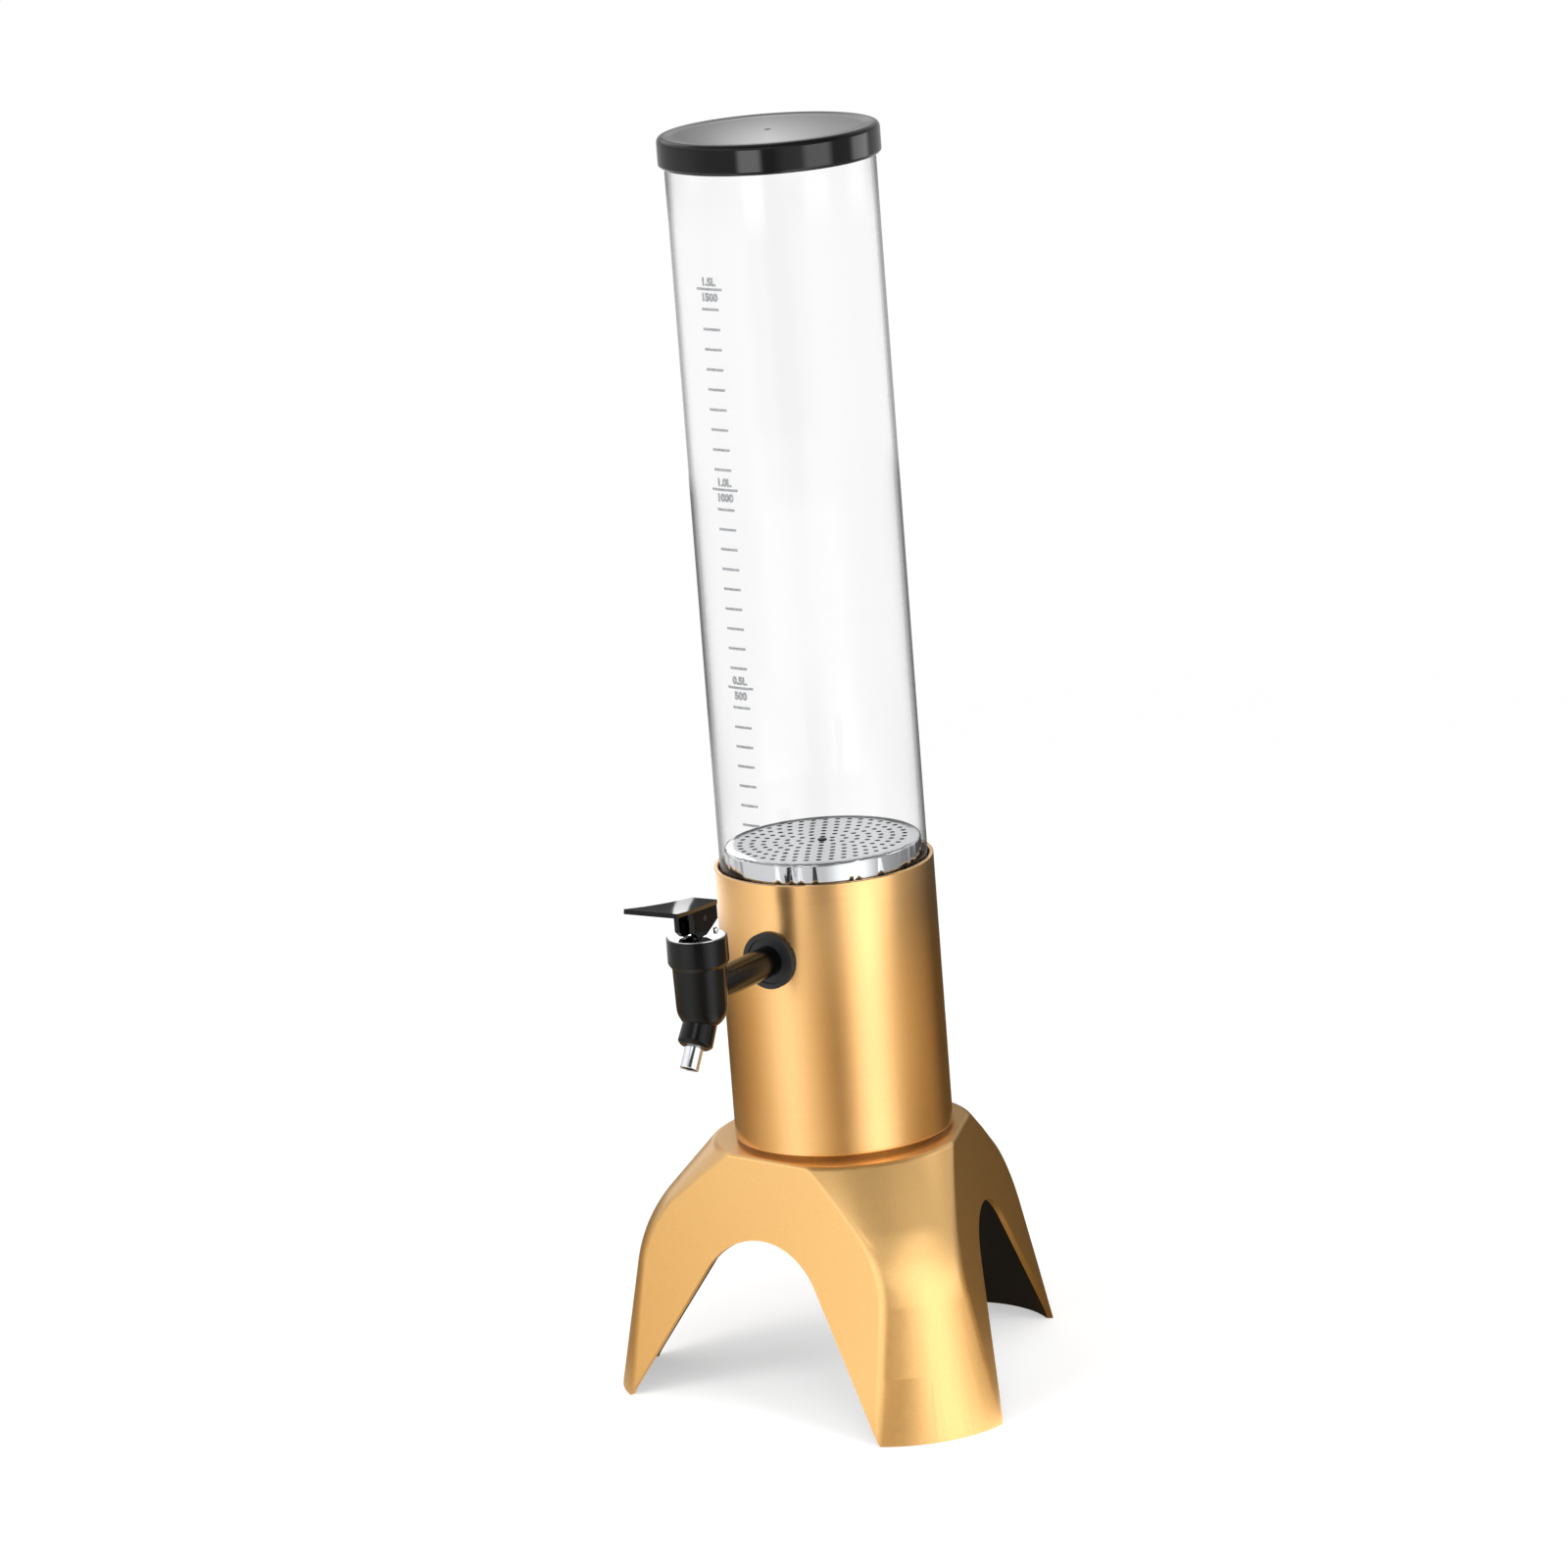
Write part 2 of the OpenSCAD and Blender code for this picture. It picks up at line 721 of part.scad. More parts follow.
module inner_gasket() {
    color([0.05, 0.05, 0.06]) on_axis()
        intersection() {
            translate([0, 0, tap_z])
                difference() {
                    bar(inner_gasket_r, tube_bore_r - inner_gasket_t, tube_r);
                    bar(shank_r + fit_gap, tube_bore_r - inner_gasket_t - cut, tube_r + cut);
                }
            translate([0, 0, tube_z]) cylinder(r = tube_bore_r, h = tube_len, $fn = round_fn);
        }
}

module shank_nut() {
    to = tube_bore_r - inner_gasket_t;
    color([0.1, 0.1, 0.11]) on_axis()
        translate([0, 0, tap_z])
            difference() {
                bar(nut_w / 2 / cos(30), to - nut_t, to, 6);
                bar(shank_r + fit_gap, to - nut_t - cut, to + cut);
            }
}

module bonnet() {
    under = collar_top + bonnet_proud - bonnet_t;
    peg = bonnet_r - 2 * bonnet_peg_r;
    color("silver") on_axis()
        at_barrel()
            difference() {
                union() {
                    translate([0, 0, under]) cylinder(r = bonnet_r, h = bonnet_t, $fn = round_fn);
                    translate([0, 0, under - bonnet_skirt_h])
                        cylinder(r = chamber_r - fit_gap, h = bonnet_skirt_h + cut, $fn = small_fn);
                    rotate([0, 0, bonnet_peg_turn])
                        translate([0, peg, under + bonnet_t / 2])
                            cylinder(r = bonnet_peg_r, h = bonnet_t / 2 + bonnet_peg_h,
                                     $fn = small_fn);
                }
                translate([0, 0, under - bonnet_skirt_h - cut])
                    cylinder(r = stem_r + stem_run, h = bonnet_skirt_h + bonnet_t + 2 * cut,
                             $fn = small_fn);
            }
}

module nozzle() {
    bore = nozzle_r - nozzle_wall;
    step = nozzle_grip + nozzle_gap;
    tip = nozzle_grip + nozzle_len;
    color("gainsboro") on_axis()
        at_spout()
            translate([0, 0, neck_len - nozzle_grip])
                rotate_extrude($fn = small_fn)
                    polygon([
                        [bore, 0], [nozzle_tail_r, 0], [nozzle_tail_r, step], [nozzle_r, step],
                        [nozzle_r, tip], [bore, tip]]);
}

module stem() {
    foot = seat_z + seat_gap + seal_h;
    eye_r = stem_eye_d / 2;
    color("silver") on_axis()
        at_barrel() {
            difference() {
                union() {
                    translate([0, 0, foot]) cylinder(r = plunger_r, h = plunger_t, $fn = small_fn);
                    translate([0, 0, foot]) cylinder(r = stem_r, h = pivot_z - foot, $fn = small_fn);
                    translate([-stem_eye_w / 2, 0, pivot_z])
                        rotate([0, 90, 0]) cylinder(r = eye_r, h = stem_eye_w, $fn = small_fn);
                }
                translate([-stem_eye_w, 0, pivot_z])
                    rotate([0, 90, 0])
                        cylinder(d = pin_d + 2 * pin_run, h = 2 * stem_eye_w, $fn = small_fn);
            }
        }
}

module pivot_pin() {
    color("silver") on_axis()
        at_barrel()
            translate([-head_w / 2, 0, pivot_z])
                rotate([0, 90, 0]) cylinder(d = pin_d, h = head_w, $fn = small_fn);
}

module valve_seal() {
    color([0.8, 0.8, 0.78]) on_axis()
        at_barrel()
            translate([0, 0, seat_z + seat_gap]) {
                cylinder(r1 = seal_tip_r, r2 = seal_r, h = seal_h / 2, $fn = small_fn);
                translate([0, 0, seal_h / 2]) cylinder(r = seal_r, h = seal_h / 2, $fn = small_fn);
            }
}

module valve_spring() {
    foot = seat_z + seat_gap + seal_h + plunger_t + spring_slack;
    top = collar_top + bonnet_proud - bonnet_t - bonnet_skirt_h - spring_slack;
    color("silver") on_axis()
        at_barrel() translate([0, 0, foot]) pipe(spring_r, spring_wall, top - foot);
}

// Outline of the paddle, from its head out along -Y, with round corners at the free end
module paddle_outline() {
    c = paddle_corner_r;
    polygon(concat(
        [[paddle_root_w / 2, 0], [-paddle_root_w / 2, 0]],
        [for (i = [0 : corner_parts])
            let (a = 90 * i / corner_parts)
            [-paddle_w / 2 + c - c * cos(a), -paddle_len + c - c * sin(a)]],
        [for (i = [0 : corner_parts])
            let (a = 90 * i / corner_parts)
            [paddle_w / 2 - c + c * sin(a), -paddle_len + c - c * cos(a)]]));
}

// Outline of the head seen from the side: a toe and a slope at its foot, a top that
// follows the paddle's slope, and a round gusset under the paddle
module head_outline(height) {
    g = gusset_r;
    bury = paddle_t / 2;
    function under(y) = height + (paddle_back - y) * tan(paddle_rise);
    root = -head_front - g;
    polygon(concat(
        [[head_back - head_slope_w, 0], [head_back, head_slope_h],
         [head_back, under(head_back) + bury], [root, under(root) + bury]],
        [for (i = [0 : corner_parts])
            let (a = 90 * i / corner_parts)
            [root + g * sin(a), under(root) - g + g * cos(a)]],
        [[-head_front, head_toe_h], [head_toe_w - head_front, 0]]));
}

module lever() {
    foot = collar_top + bonnet_proud + head_foot_gap;
    height = paddle_z - foot;
    slot = stem_eye_w + 2 * eye_gap;
    slot_back = stem_eye_d / 2 + eye_gap;
    slot_h = pivot_z + slot_back - foot;
    color([0.07, 0.07, 0.08]) on_axis()
        at_barrel()
            difference() {
                union() {
                    translate([0, paddle_back, paddle_z])
                        rotate([-paddle_rise, 0, 0])
                            linear_extrude(height = paddle_t) paddle_outline();
                    translate([-head_w / 2, 0, foot])
                        rotate([90, 0, 90])
                            linear_extrude(height = head_w) head_outline(height);
                }
                translate([-slot / 2, -head_front - gusset_r - cut, foot - cut])
                    cube([slot, head_front + gusset_r + slot_back + cut, slot_h + cut]);
                translate([-head_w, 0, pivot_z])
                    rotate([0, 90, 0])
                        cylinder(d = pin_d + 2 * pin_run, h = 2 * head_w, $fn = small_fn);
            }
}

tripod_base();
sleeve();
tube();
tube_plug();
plug_oring();
column();
centre_bolt();
bolt_washer();
strainer();
tap_body();
tap_shank();
outer_gasket();
inner_gasket();
shank_nut();
bonnet();
nozzle();
lid();
lid_seal();
stem();
pivot_pin();
valve_seal();
valve_spring();
lever();
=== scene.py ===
"""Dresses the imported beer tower: turned and smoothed pieces, finishes, studio, camera.

The CAD nodes give the sizes and places. Metres, +Z up, the tap along -Y.
"""

import json
import logging
import math
from contextlib import contextmanager
from dataclasses import dataclass
from enum import Enum
from typing import Callable, Iterator

import bpy
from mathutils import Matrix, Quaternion, Vector


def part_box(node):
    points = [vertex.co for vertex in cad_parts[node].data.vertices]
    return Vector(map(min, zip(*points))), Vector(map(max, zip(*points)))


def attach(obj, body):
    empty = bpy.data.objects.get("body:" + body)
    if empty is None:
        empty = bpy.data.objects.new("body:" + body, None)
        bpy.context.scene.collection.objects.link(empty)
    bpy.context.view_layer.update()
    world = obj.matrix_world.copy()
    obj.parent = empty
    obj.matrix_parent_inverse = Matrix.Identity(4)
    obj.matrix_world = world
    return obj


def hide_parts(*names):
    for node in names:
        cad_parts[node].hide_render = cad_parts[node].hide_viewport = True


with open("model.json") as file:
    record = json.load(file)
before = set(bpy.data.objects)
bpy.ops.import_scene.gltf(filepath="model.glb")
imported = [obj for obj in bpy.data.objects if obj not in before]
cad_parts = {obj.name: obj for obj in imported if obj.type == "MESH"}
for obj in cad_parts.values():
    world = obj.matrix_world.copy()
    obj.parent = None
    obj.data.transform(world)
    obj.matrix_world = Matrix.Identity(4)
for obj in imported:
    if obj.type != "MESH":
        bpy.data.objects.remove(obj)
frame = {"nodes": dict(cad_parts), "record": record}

LOG = logging.getLogger("tower")
MM = 0.001
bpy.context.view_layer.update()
Profile = list[tuple[float, float]]
Bands = tuple[tuple[float, float], ...]
Colour = tuple[float, float, float, float]
Tree = bpy.types.NodeTree
Socket = bpy.types.NodeSocket
Material = bpy.types.Material
Solid = bpy.types.Object
Face = bpy.types.MeshPolygon
MERGE_GAP = 2e-6
FLAT_DEG = 0.4


def middle(node: str) -> Vector:
    """The middle of a CAD node's box."""
    low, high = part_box(node)
    return (Vector(low) + Vector(high)) / 2


def round_size(node: str) -> tuple[float, float, float]:
    """A round CAD node's radius, foot and top, in millimetres."""
    low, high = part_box(node)
    return (high[0] - low[0]) / 2 / MM, low[2] / MM, high[2] / MM


AXIS = Vector((middle("tube").x, middle("tube").y, 0))
TAP = Vector((middle("bonnet").x, middle("bonnet").y, 0))


class Body(Enum):
    """The rigid bodies that pieces ride on."""

    TOWER = "tower"
    LID = "lid"
    STEM = "stem"
    LEVER = "lever"


def linear(code: str) -> Colour:
    """Turns an sRGB hex value into the linear colour that nodes take.

    Args:
        code: the colour as "#rrggbb".

    Returns:
        Red, green and blue in linear light, and an alpha of 1.
    """
    parts = [int(code[i : i + 2], 16) / 255 for i in (1, 3, 5)]
    low = 0.04045
    values = [c / 12.92 if c <= low else ((c + 0.055) / 1.055) ** 2.4 for c in parts]
    return (values[0], values[1], values[2], 1.0)


def grey(level: float) -> Colour:
    """A neutral linear colour of that level."""
    return (level, level, level, 1.0)


def add_node(
    tree: Tree,
    kind: str,
    settings: dict[str, object] | None = None,
    links: dict[int | str, Socket] | None = None,
    stops: list[tuple[float, Colour]] | None = None,
) -> bpy.types.Node:
    """Adds one node with its settings and its incoming links.

    Args:
        tree: the node tree to add to.
        kind: the node's Blender type name, after "ShaderNode".
        settings: attributes by name, or socket values by the socket's name.
        links: sockets that feed the node's inputs, by input name or number.
        stops: a colour ramp's places from 0 to 1, with their linear colours.

    Returns:
        The new node.
    """
    node = tree.nodes.new("ShaderNode" + kind)
    for name, value in (settings or {}).items():
        if name in node.inputs:
            node.inputs[name].default_value = value
        else:
            setattr(node, name, value)
    for name, socket in (links or {}).items():
        tree.links.new(socket, node.inputs[name])
    if stops:
        elements = node.color_ramp.elements
        while len(elements) < len(stops):
            elements.new(1.0)
        for element, (place, colour) in zip(elements, stops):
            element.position = place
            element.color = colour
    return node


def new_material(name: str) -> tuple[Material, Tree]:
    """A material with an empty node tree.

    Args:
        name: the material's name.

    Returns:
        The material and its tree.
    """
    material = bpy.data.materials.new(name)
    material.use_nodes = True
    material.node_tree.nodes.clear()
    return material, material.node_tree


def stretched_noise(tree: Tree, size_mm: tuple[float, float, float], detail: float) -> Socket:
    """Noise on Object coordinates whose grains have a real size along each axis.

    Args:
        tree: the node tree to add to.
        size_mm: the grains' size along X, Y and Z, in millimetres.
        detail: the noise's detail.

    Returns:
        The noise's factor socket.
    """
    place = add_node(tree, "TexCoord").outputs["Object"]
    scale = tuple(1 / (s * MM) for s in size_mm)
    spread = add_node(tree, "Mapping", {"Scale": scale}, {"Vector": place})
    noise = add_node(
        tree, "TexNoise", {"Scale": 1.0, "Detail": detail}, {"Vector": spread.outputs[0]}
    )
    return noise.outputs[0]


class Finish:
    """A finish: each kind has its name and lays out its own shader."""

    name: str

    def shader(self, tree: Tree) -> Socket:
        """Lays out the nodes, and gives the shader's socket."""
        raise NotImplementedError

    def build(self) -> Material:
        """Makes the material.

        Returns:
            The material.
        """
        material, tree = new_material(self.name)
        add_node(tree, "OutputMaterial", links={"Surface": self.shader(tree)})
        return material


@dataclass(frozen=True)
class MouldedGold(Finish):
    """ABS moulding lacquered in a satin metallic gold: soft glints, faint orange peel."""

    name: str = "moulded_gold_lacquer"
    colour: str = "#f0c17e"
    dark: str = "#eabb75"
    coat: float = 0.35
    coat_rough: float = 0.2
    peel_mm: float = 2.2
    peel_depth_mm: float = 0.03
    fleck_mm: float = 0.5
    rough_low: float = 0.32
    rough_high: float = 0.42

    def shader(self, tree: Tree) -> Socket:
        """Lays out the nodes.

        Args:
            tree: the node tree to add to.

        Returns:
            The shader's socket.
        """
        peel = stretched_noise(tree, (self.peel_mm,) * 3, 2.0)
        fleck = stretched_noise(tree, (self.fleck_mm,) * 3, 1.0)
        stops = [(0.3, linear(self.dark)), (0.6, linear(self.colour))]
        colour = add_node(tree, "ValToRGB", links={0: fleck}, stops=stops)
        spread = {"To Min": self.rough_low, "To Max": self.rough_high}
        rough = add_node(tree, "MapRange", spread, {"Value": peel})
        relief = add_node(tree, "Bump", {"Distance": self.peel_depth_mm * MM}, {"Height": peel})
        settings = {"Metallic": 1.0, "Coat Weight": self.coat, "Coat Roughness": self.coat_rough}
        links = {
            "Base Color": colour.outputs[0],
            "Roughness": rough.outputs[0],
            "Normal": relief.outputs[0],
        }
        return add_node(tree, "BsdfPrincipled", settings, links).outputs[0]


@dataclass(frozen=True)
class BrushedGold(Finish):
    """Stainless sleeve, brushed round its girth and anodised gold: upright glossy bands."""

    name: str = "brushed_gold_steel"
    colour: str = "#f2c07f"
    dark: str = "#efbc7b"
    coat: float = 0.25
    coat_rough: float = 0.15
    stretch: float = 0.4
    line_mm: float = 0.35
    run_mm: float = 40.0
    line_depth_mm: float = 0.004
    line_show: float = 0.12
    rough_low: float = 0.22
    rough_high: float = 0.27

    def shader(self, tree: Tree) -> Socket:
        """Lays out the nodes.

        Args:
            tree: the node tree to add to.

        Returns:
            The shader's socket.
        """
        # Real brush lines are about 0.05 mm; they are drawn coarser so that they show
        lines = stretched_noise(tree, (self.run_mm, self.run_mm, self.line_mm), 3.0)
        stops = [(0.3, linear(self.dark)), (0.65, linear(self.colour))]
        colour = add_node(tree, "ValToRGB", links={0: lines}, stops=stops)
        spread = {"To Min": self.rough_low, "To Max": self.rough_high}
        rough = add_node(tree, "MapRange", spread, {"Value": lines})
        depth = {"Distance": self.line_depth_mm * MM, "Strength": self.line_show}
        relief = add_node(tree, "Bump", depth, {"Height": lines})
        tangent = add_node(tree, "Tangent", {"direction_type": "RADIAL", "axis": "Z"})
        settings = {"Metallic": 1.0, "Anisotropic": self.stretch}
        settings |= {"Coat Weight": self.coat, "Coat Roughness": self.coat_rough}
        links = {
            "Base Color": colour.outputs[0],
            "Roughness": rough.outputs[0],
            "Normal": relief.outputs[0],
            "Tangent": tangent.outputs[0],
        }
        return add_node(tree, "BsdfPrincipled", settings, links).outputs[0]


@dataclass(frozen=True)
class ClearAcrylic(Finish):
    """Extruded acrylic tube: clear, mirrors faintly face on, with grey shade painted along its
    edges.
    """

    name: str = "clear_acrylic"
    # The grey painted as edge shade, and how much of it shows from face on to edge on
    edge: str = "#5c5e60"
    face_on_grey: float = 0.008
    near_edge: float = 0.3
    edge_share: float = 0.5
    mirror: float = 0.02
    grazing: float = 1.0

    def shader(self, tree: Tree) -> Socket:
        """Lays out the nodes.

        Args:
            tree: the node tree to add to.

        Returns:
            The shader's socket.
        """
        # A grey body, mixed in more towards the edges, paints the edge shade
        facing = add_node(tree, "LayerWeight", {"Blend": 0.5}).outputs["Facing"]
        levels = [(0.66, self.face_on_grey), (0.735, self.near_edge), (0.8, self.edge_share)]
        stops = [(place, grey(level)) for place, level in levels]
        cover = add_node(tree, "ValToRGB", links={0: facing}, stops=stops).outputs[0]
        settings = {"Base Color": linear(self.edge), "Roughness": 0.5, "Specular IOR Level": 0.1}
        body = add_node(tree, "BsdfPrincipled", settings).outputs[0]
        clear = add_node(tree, "BsdfTransparent").outputs[0]
        shine = add_node(tree, "BsdfAnisotropic", {"Roughness": 0.04}).outputs[0]
        fifth = add_node(tree, "Math", {"operation": "POWER"}, {0: facing})
        fifth.inputs[1].default_value = 5.0
        spread = {"To Min": self.mirror, "To Max": self.grazing}
        mirror = add_node(tree, "MapRange", spread, {"Value": fifth.outputs[0]})
        links = {0: mirror.outputs[0], 1: clear, 2: shine}
        skin = add_node(tree, "MixShader", links=links)
        both = add_node(tree, "MixShader", links={0: cover, 1: skin.outputs[0], 2: body})
        return both.outputs[0]


@dataclass(frozen=True)
class Plastic(Finish):
    """Injection-moulded plastic with a fine mould texture."""

    name: str
    colour: str
    rough_low: float = 0.3
    rough_high: float = 0.42
    grain_mm: float = 0.4
    relief_mm: float = 0.01
    specular: float = 0.5
    ior: float = 1.5
    cloud_grains: float = 30.0

    def shader(self, tree: Tree) -> Socket:
        """Lays out the nodes.

        Args:
            tree: the node tree to add to.

        Returns:
            The shader's socket.
        """
        grain = stretched_noise(tree, (self.grain_mm,) * 3, 2.0)
        cloud = stretched_noise(tree, (self.grain_mm * self.cloud_grains,) * 3, 2.0)
        spread = {"To Min": self.rough_low, "To Max": self.rough_high}
        rough = add_node(tree, "MapRange", spread, {"Value": cloud})
        relief = add_node(tree, "Bump", {"Distance": self.relief_mm * MM}, {"Height": grain})
        colour = linear(self.colour)
        settings = {"Base Color": colour, "IOR": self.ior, "Specular IOR Level": self.specular}
        links = {"Roughness": rough.outputs[0], "Normal": relief.outputs[0]}
        return add_node(tree, "BsdfPrincipled", settings, links).outputs[0]


@dataclass(frozen=True)
class Metal(Finish):
    """Bare or plated metal with a light wipe of fine lines."""

    name: str
    colour: str
    rough_low: float
    rough_high: float
    line_mm: float = 0.3
    run_mm: float = 8.0

    def shader(self, tree: Tree) -> Socket:
        """Lays out the nodes.

        Args:
            tree: the node tree to add to.

        Returns:
            The shader's socket.
        """
        lines = stretched_noise(tree, (self.run_mm, self.run_mm, self.line_mm), 2.0)
        spread = {"To Min": self.rough_low, "To Max": self.rough_high}
        rough = add_node(tree, "MapRange", spread, {"Value": lines}).outputs[0]
        settings = {"Base Color": linear(self.colour), "Metallic": 1.0}
        return add_node(tree, "BsdfPrincipled", settings, {"Roughness": rough}).outputs[0]


@dataclass(frozen=True)
class Print(Finish):
    """Grey screen ink on the tube: flat, faintly uneven."""

    name: str = "scale_ink"
    colour: str = "#8a8c8f"
    thin: str = "#a3a5a8"
    blot_mm: float = 1.2
    rough: float = 0.6

    def shader(self, tree: Tree) -> Socket:
        """Lays out the nodes.

        Args:
            tree: the node tree to add to.

        Returns:
            The shader's socket.
        """
        blot = stretched_noise(tree, (self.blot_mm,) * 3, 1.0)
        stops = [(0.35, linear(self.colour)), (0.65, linear(self.thin))]
        links = {"Base Color": add_node(tree, "ValToRGB", links={0: blot}, stops=stops).outputs[0]}
        return add_node(tree, "BsdfPrincipled", {"Roughness": self.rough}, links).outputs[0]


FINISHES: dict[str, Finish] = {
    # Gold on ABS: soft glints, and a darker gold painted as shade on the walls of the sleeve's seat
    "moulded_gold": MouldedGold(),
    "seat_gold": MouldedGold("shaded_gold", "#8a5f2c", "#7d5426"),
    # Gold on brushed steel: upright bands
    "brushed_gold": BrushedGold(),
    # Clear wall with grey shade painted at its edges; its bore has less of it and mirrors less
    "clear_acrylic": ClearAcrylic(),
    "acrylic_bore": ClearAcrylic("clear_acrylic_bore", near_edge=0.02, edge_share=0.06, grazing=0.2),
    # ABS: a soft sheen where moulded, clear reflections where polished, dark and dull inside the
    # base
    "dark_plastic": Plastic("satin_black_abs", "#050506", 0.16, 0.24, specular=0.22),
    "polished_black": Plastic("polished_black_abs", "#060607", 0.04, 0.08, 6.0, 0.0),
    "inside_plastic": Plastic("black_abs_inside", "#1e1914", 0.5, 0.6),
    "gloss_black": Plastic("gloss_black_abs", "#08080a", 0.07, 0.11, 6.0, 0.0),
    # Rubber and silicone: a broad, dull sheen
    "rubber": Plastic("black_rubber", "#0d1014", 0.5, 0.62, 0.3, 0.02),
    "seal_silicone": Plastic("white_silicone", "#d8d8d2", 0.4, 0.5, 0.5, 0.01),
    # Steels: soft on plated and oxidised pieces, bright on the strainer, and a dark steel painted as
    # shade on its hole walls
    "zinc_steel": Metal("zinc_plated_steel", "#b9bbbd", 0.28, 0.38),
    "dark_steel": Metal("black_oxide_steel", "#4c4c4e", 0.3, 0.4),
    "perforated_steel": Metal("polished_stainless", "#d0d2d4", 0.06, 0.12, 3.0),
    "punched_steel": Metal("punched_steel", "#2b2c2e", 0.5, 0.6),
    # Chrome: a mirror with hardly a blur
    "chrome": Metal("bright_chrome", "#e0e2e4", 0.06, 0.1),
    # Ink: flat grey
    "ink": Print(),
}


class Wardrobe:
    """Makes each finish once and hands it out by the record's slot name."""

    def __init__(self) -> None:
        """Starts with no finish made."""
        self.made: dict[str, Material] = {}

    def get(self, slot: str) -> Material:
        """The finish of that slot.

        Args:
            slot: the finish's name in FINISHES.

        Returns:
            Its material.
        """
        if slot not in self.made:
            self.made[slot] = FINISHES[slot].build()
        return self.made[slot]

    def dress(self, obj: Solid, slots: str) -> None:
        """Gives an object its finishes.

        Args:
            obj: the object, whose faces keep their material numbers.
            slots: the finishes' names in the order of those numbers, with spaces between.
        """
        numbers = [face.material_index for face in obj.data.polygons]
        obj.data.materials.clear()
        for slot in slots.split():
            obj.data.materials.append(self.get(slot))
        obj.data.polygons.foreach_set("material_index", numbers)


def hang(name: str, data: bpy.types.ID) -> Solid:
    """Adds an object with that data to the scene, and gives it back.

    Args:
        name: the object's name.
        data: the mesh, curve, light or camera that it holds.

    Returns:
        The object.
    """
    obj = bpy.data.objects.new(name, data)
    bpy.context.scene.collection.objects.link(obj)
    return obj


def select_only(obj: Solid) -> None:
    """Leaves one object selected and active.

    Args:
        obj: the object.
    """
    bpy.ops.object.select_all(action="DESELECT")
    obj.select_set(True)
    bpy.context.view_layer.objects.active = obj


@contextmanager
def editing(obj: Solid, mode: str = "FACE") -> Iterator[None]:
    """Keeps one object in edit mode while a with block runs.

    Args:
        obj: the object to edit.
        mode: VERT, EDGE or FACE.
    """
    select_only(obj)
    bpy.ops.object.mode_set(mode="EDIT")
    bpy.ops.mesh.select_mode(type=mode)
    yield
    bpy.ops.object.mode_set(mode="OBJECT")


def pick_all() -> None:
    """Selects the whole mesh, in edit mode."""
    bpy.ops.mesh.select_all(action="SELECT")


def pick_faces(obj: Solid, rule: Callable[[Face], bool]) -> int:
    """Selects the faces that a rule names, in object mode.

    Args:
        obj: the object whose faces are picked.
        rule: tells whether a face is wanted.

    Returns:
        How many were picked.
    """
    for part in (obj.data.vertices, obj.data.edges):
        part.foreach_set("select", [False] * len(part))
    chosen = [rule(p) for p in obj.data.polygons]
    obj.data.polygons.foreach_set("select", chosen)
    return sum(chosen)


def settle(obj: Solid) -> None:
    """Puts an object's place into its mesh, and leaves it at the origin."""
    select_only(obj)
    bpy.ops.object.transform_apply(location=True, rotation=True, scale=True)


def add_modifier(obj: Solid, kind: str, **settings: object) -> None:
    """Adds a modifier, sets it and applies it.

    Args:
        obj: the object to change.
        kind: the modifier's type.
        settings: the modifier's settings.
    """
    select_only(obj)
    modifier = obj.modifiers.new(kind.title(), kind)
    for name, value in settings.items():
        setattr(modifier, name, value)
    bpy.ops.object.modifier_apply(modifier=modifier.name)


def soften(obj: Solid, width_mm: float, angle_deg: float = 40.0, segments: int = 2) -> None:
    """Rounds an object's sharp edges a little."""
    limit = {"limit_method": "ANGLE", "angle_limit": math.radians(angle_deg)}
    add_modifier(obj, "BEVEL", width=width_mm * MM, segments=segments, **limit)


def smooth(obj: Solid, angle_deg: float = 35.0) -> None:
    """Shades an object smooth but for edges sharper than the angle."""
    select_only(obj)
    bpy.ops.object.shade_smooth_by_angle(angle=math.radians(angle_deg))


def weighted(obj: Solid, angle_deg: float = 30.0) -> None:
    """Shades an object smooth by angle, and lets its large faces lead its normals."""
    smooth(obj, angle_deg)
    add_modifier(obj, "WEIGHTED_NORMAL", keep_sharp=True)


def merged_copy(node: str, name: str) -> Solid:
    """A merged copy of a CAD node's mesh, with its flat faces whole.

    Args:
        node: the CAD node.
        name: the new piece's name.

    Returns:
        The copy.
    """
    piece = hang(name, frame["nodes"][node].data.copy())
    with editing(piece, "VERT"):
        pick_all()
        bpy.ops.mesh.remove_doubles(threshold=MERGE_GAP)
        pick_all()
        bpy.ops.mesh.dissolve_limited(angle_limit=math.radians(FLAT_DEG))
    return piece


def rounded(corners: list[tuple[float, float, float]], loop: bool, steps: int = 4) -> Profile:
    """An outline whose corners are rounded.

    Args:
        corners: radius, height and length of the rounding at each corner, in millimetres.
        loop: whether the last corner joins the first.
        steps: how many parts each rounding has.

    Returns:
        The outline in metres.
    """
    points: Profile = []
    count = len(corners)
    for i, (r, z, cut) in enumerate(corners):
        here = Vector((r, z))
        ends = not loop and i in (0, count - 1)
        if ends or not cut:
            points.append((r * MM, z * MM))
            continue
        before = Vector(corners[i - 1][:2]) - here
        after = Vector(corners[(i + 1) % count][:2]) - here
        start = here + before.normalized() * cut
        finish = here + after.normalized() * cut
        for k in range(steps + 1):
            s = k / steps
            p = start * (1 - s) ** 2 + here * 2 * s * (1 - s) + finish * s**2
            points.append((p.x * MM, p.y * MM))
    return points


def face_out(obj: Solid) -> None:
    """Turns a closed piece's faces round if they all look inwards.

    Args:
        obj: the piece, round the world's origin.
    """
    if sum(f.center.dot(f.normal) * f.area for f in obj.data.polygons) > 0:
        return
    with editing(obj):
        pick_all()
        bpy.ops.mesh.flip_normals()


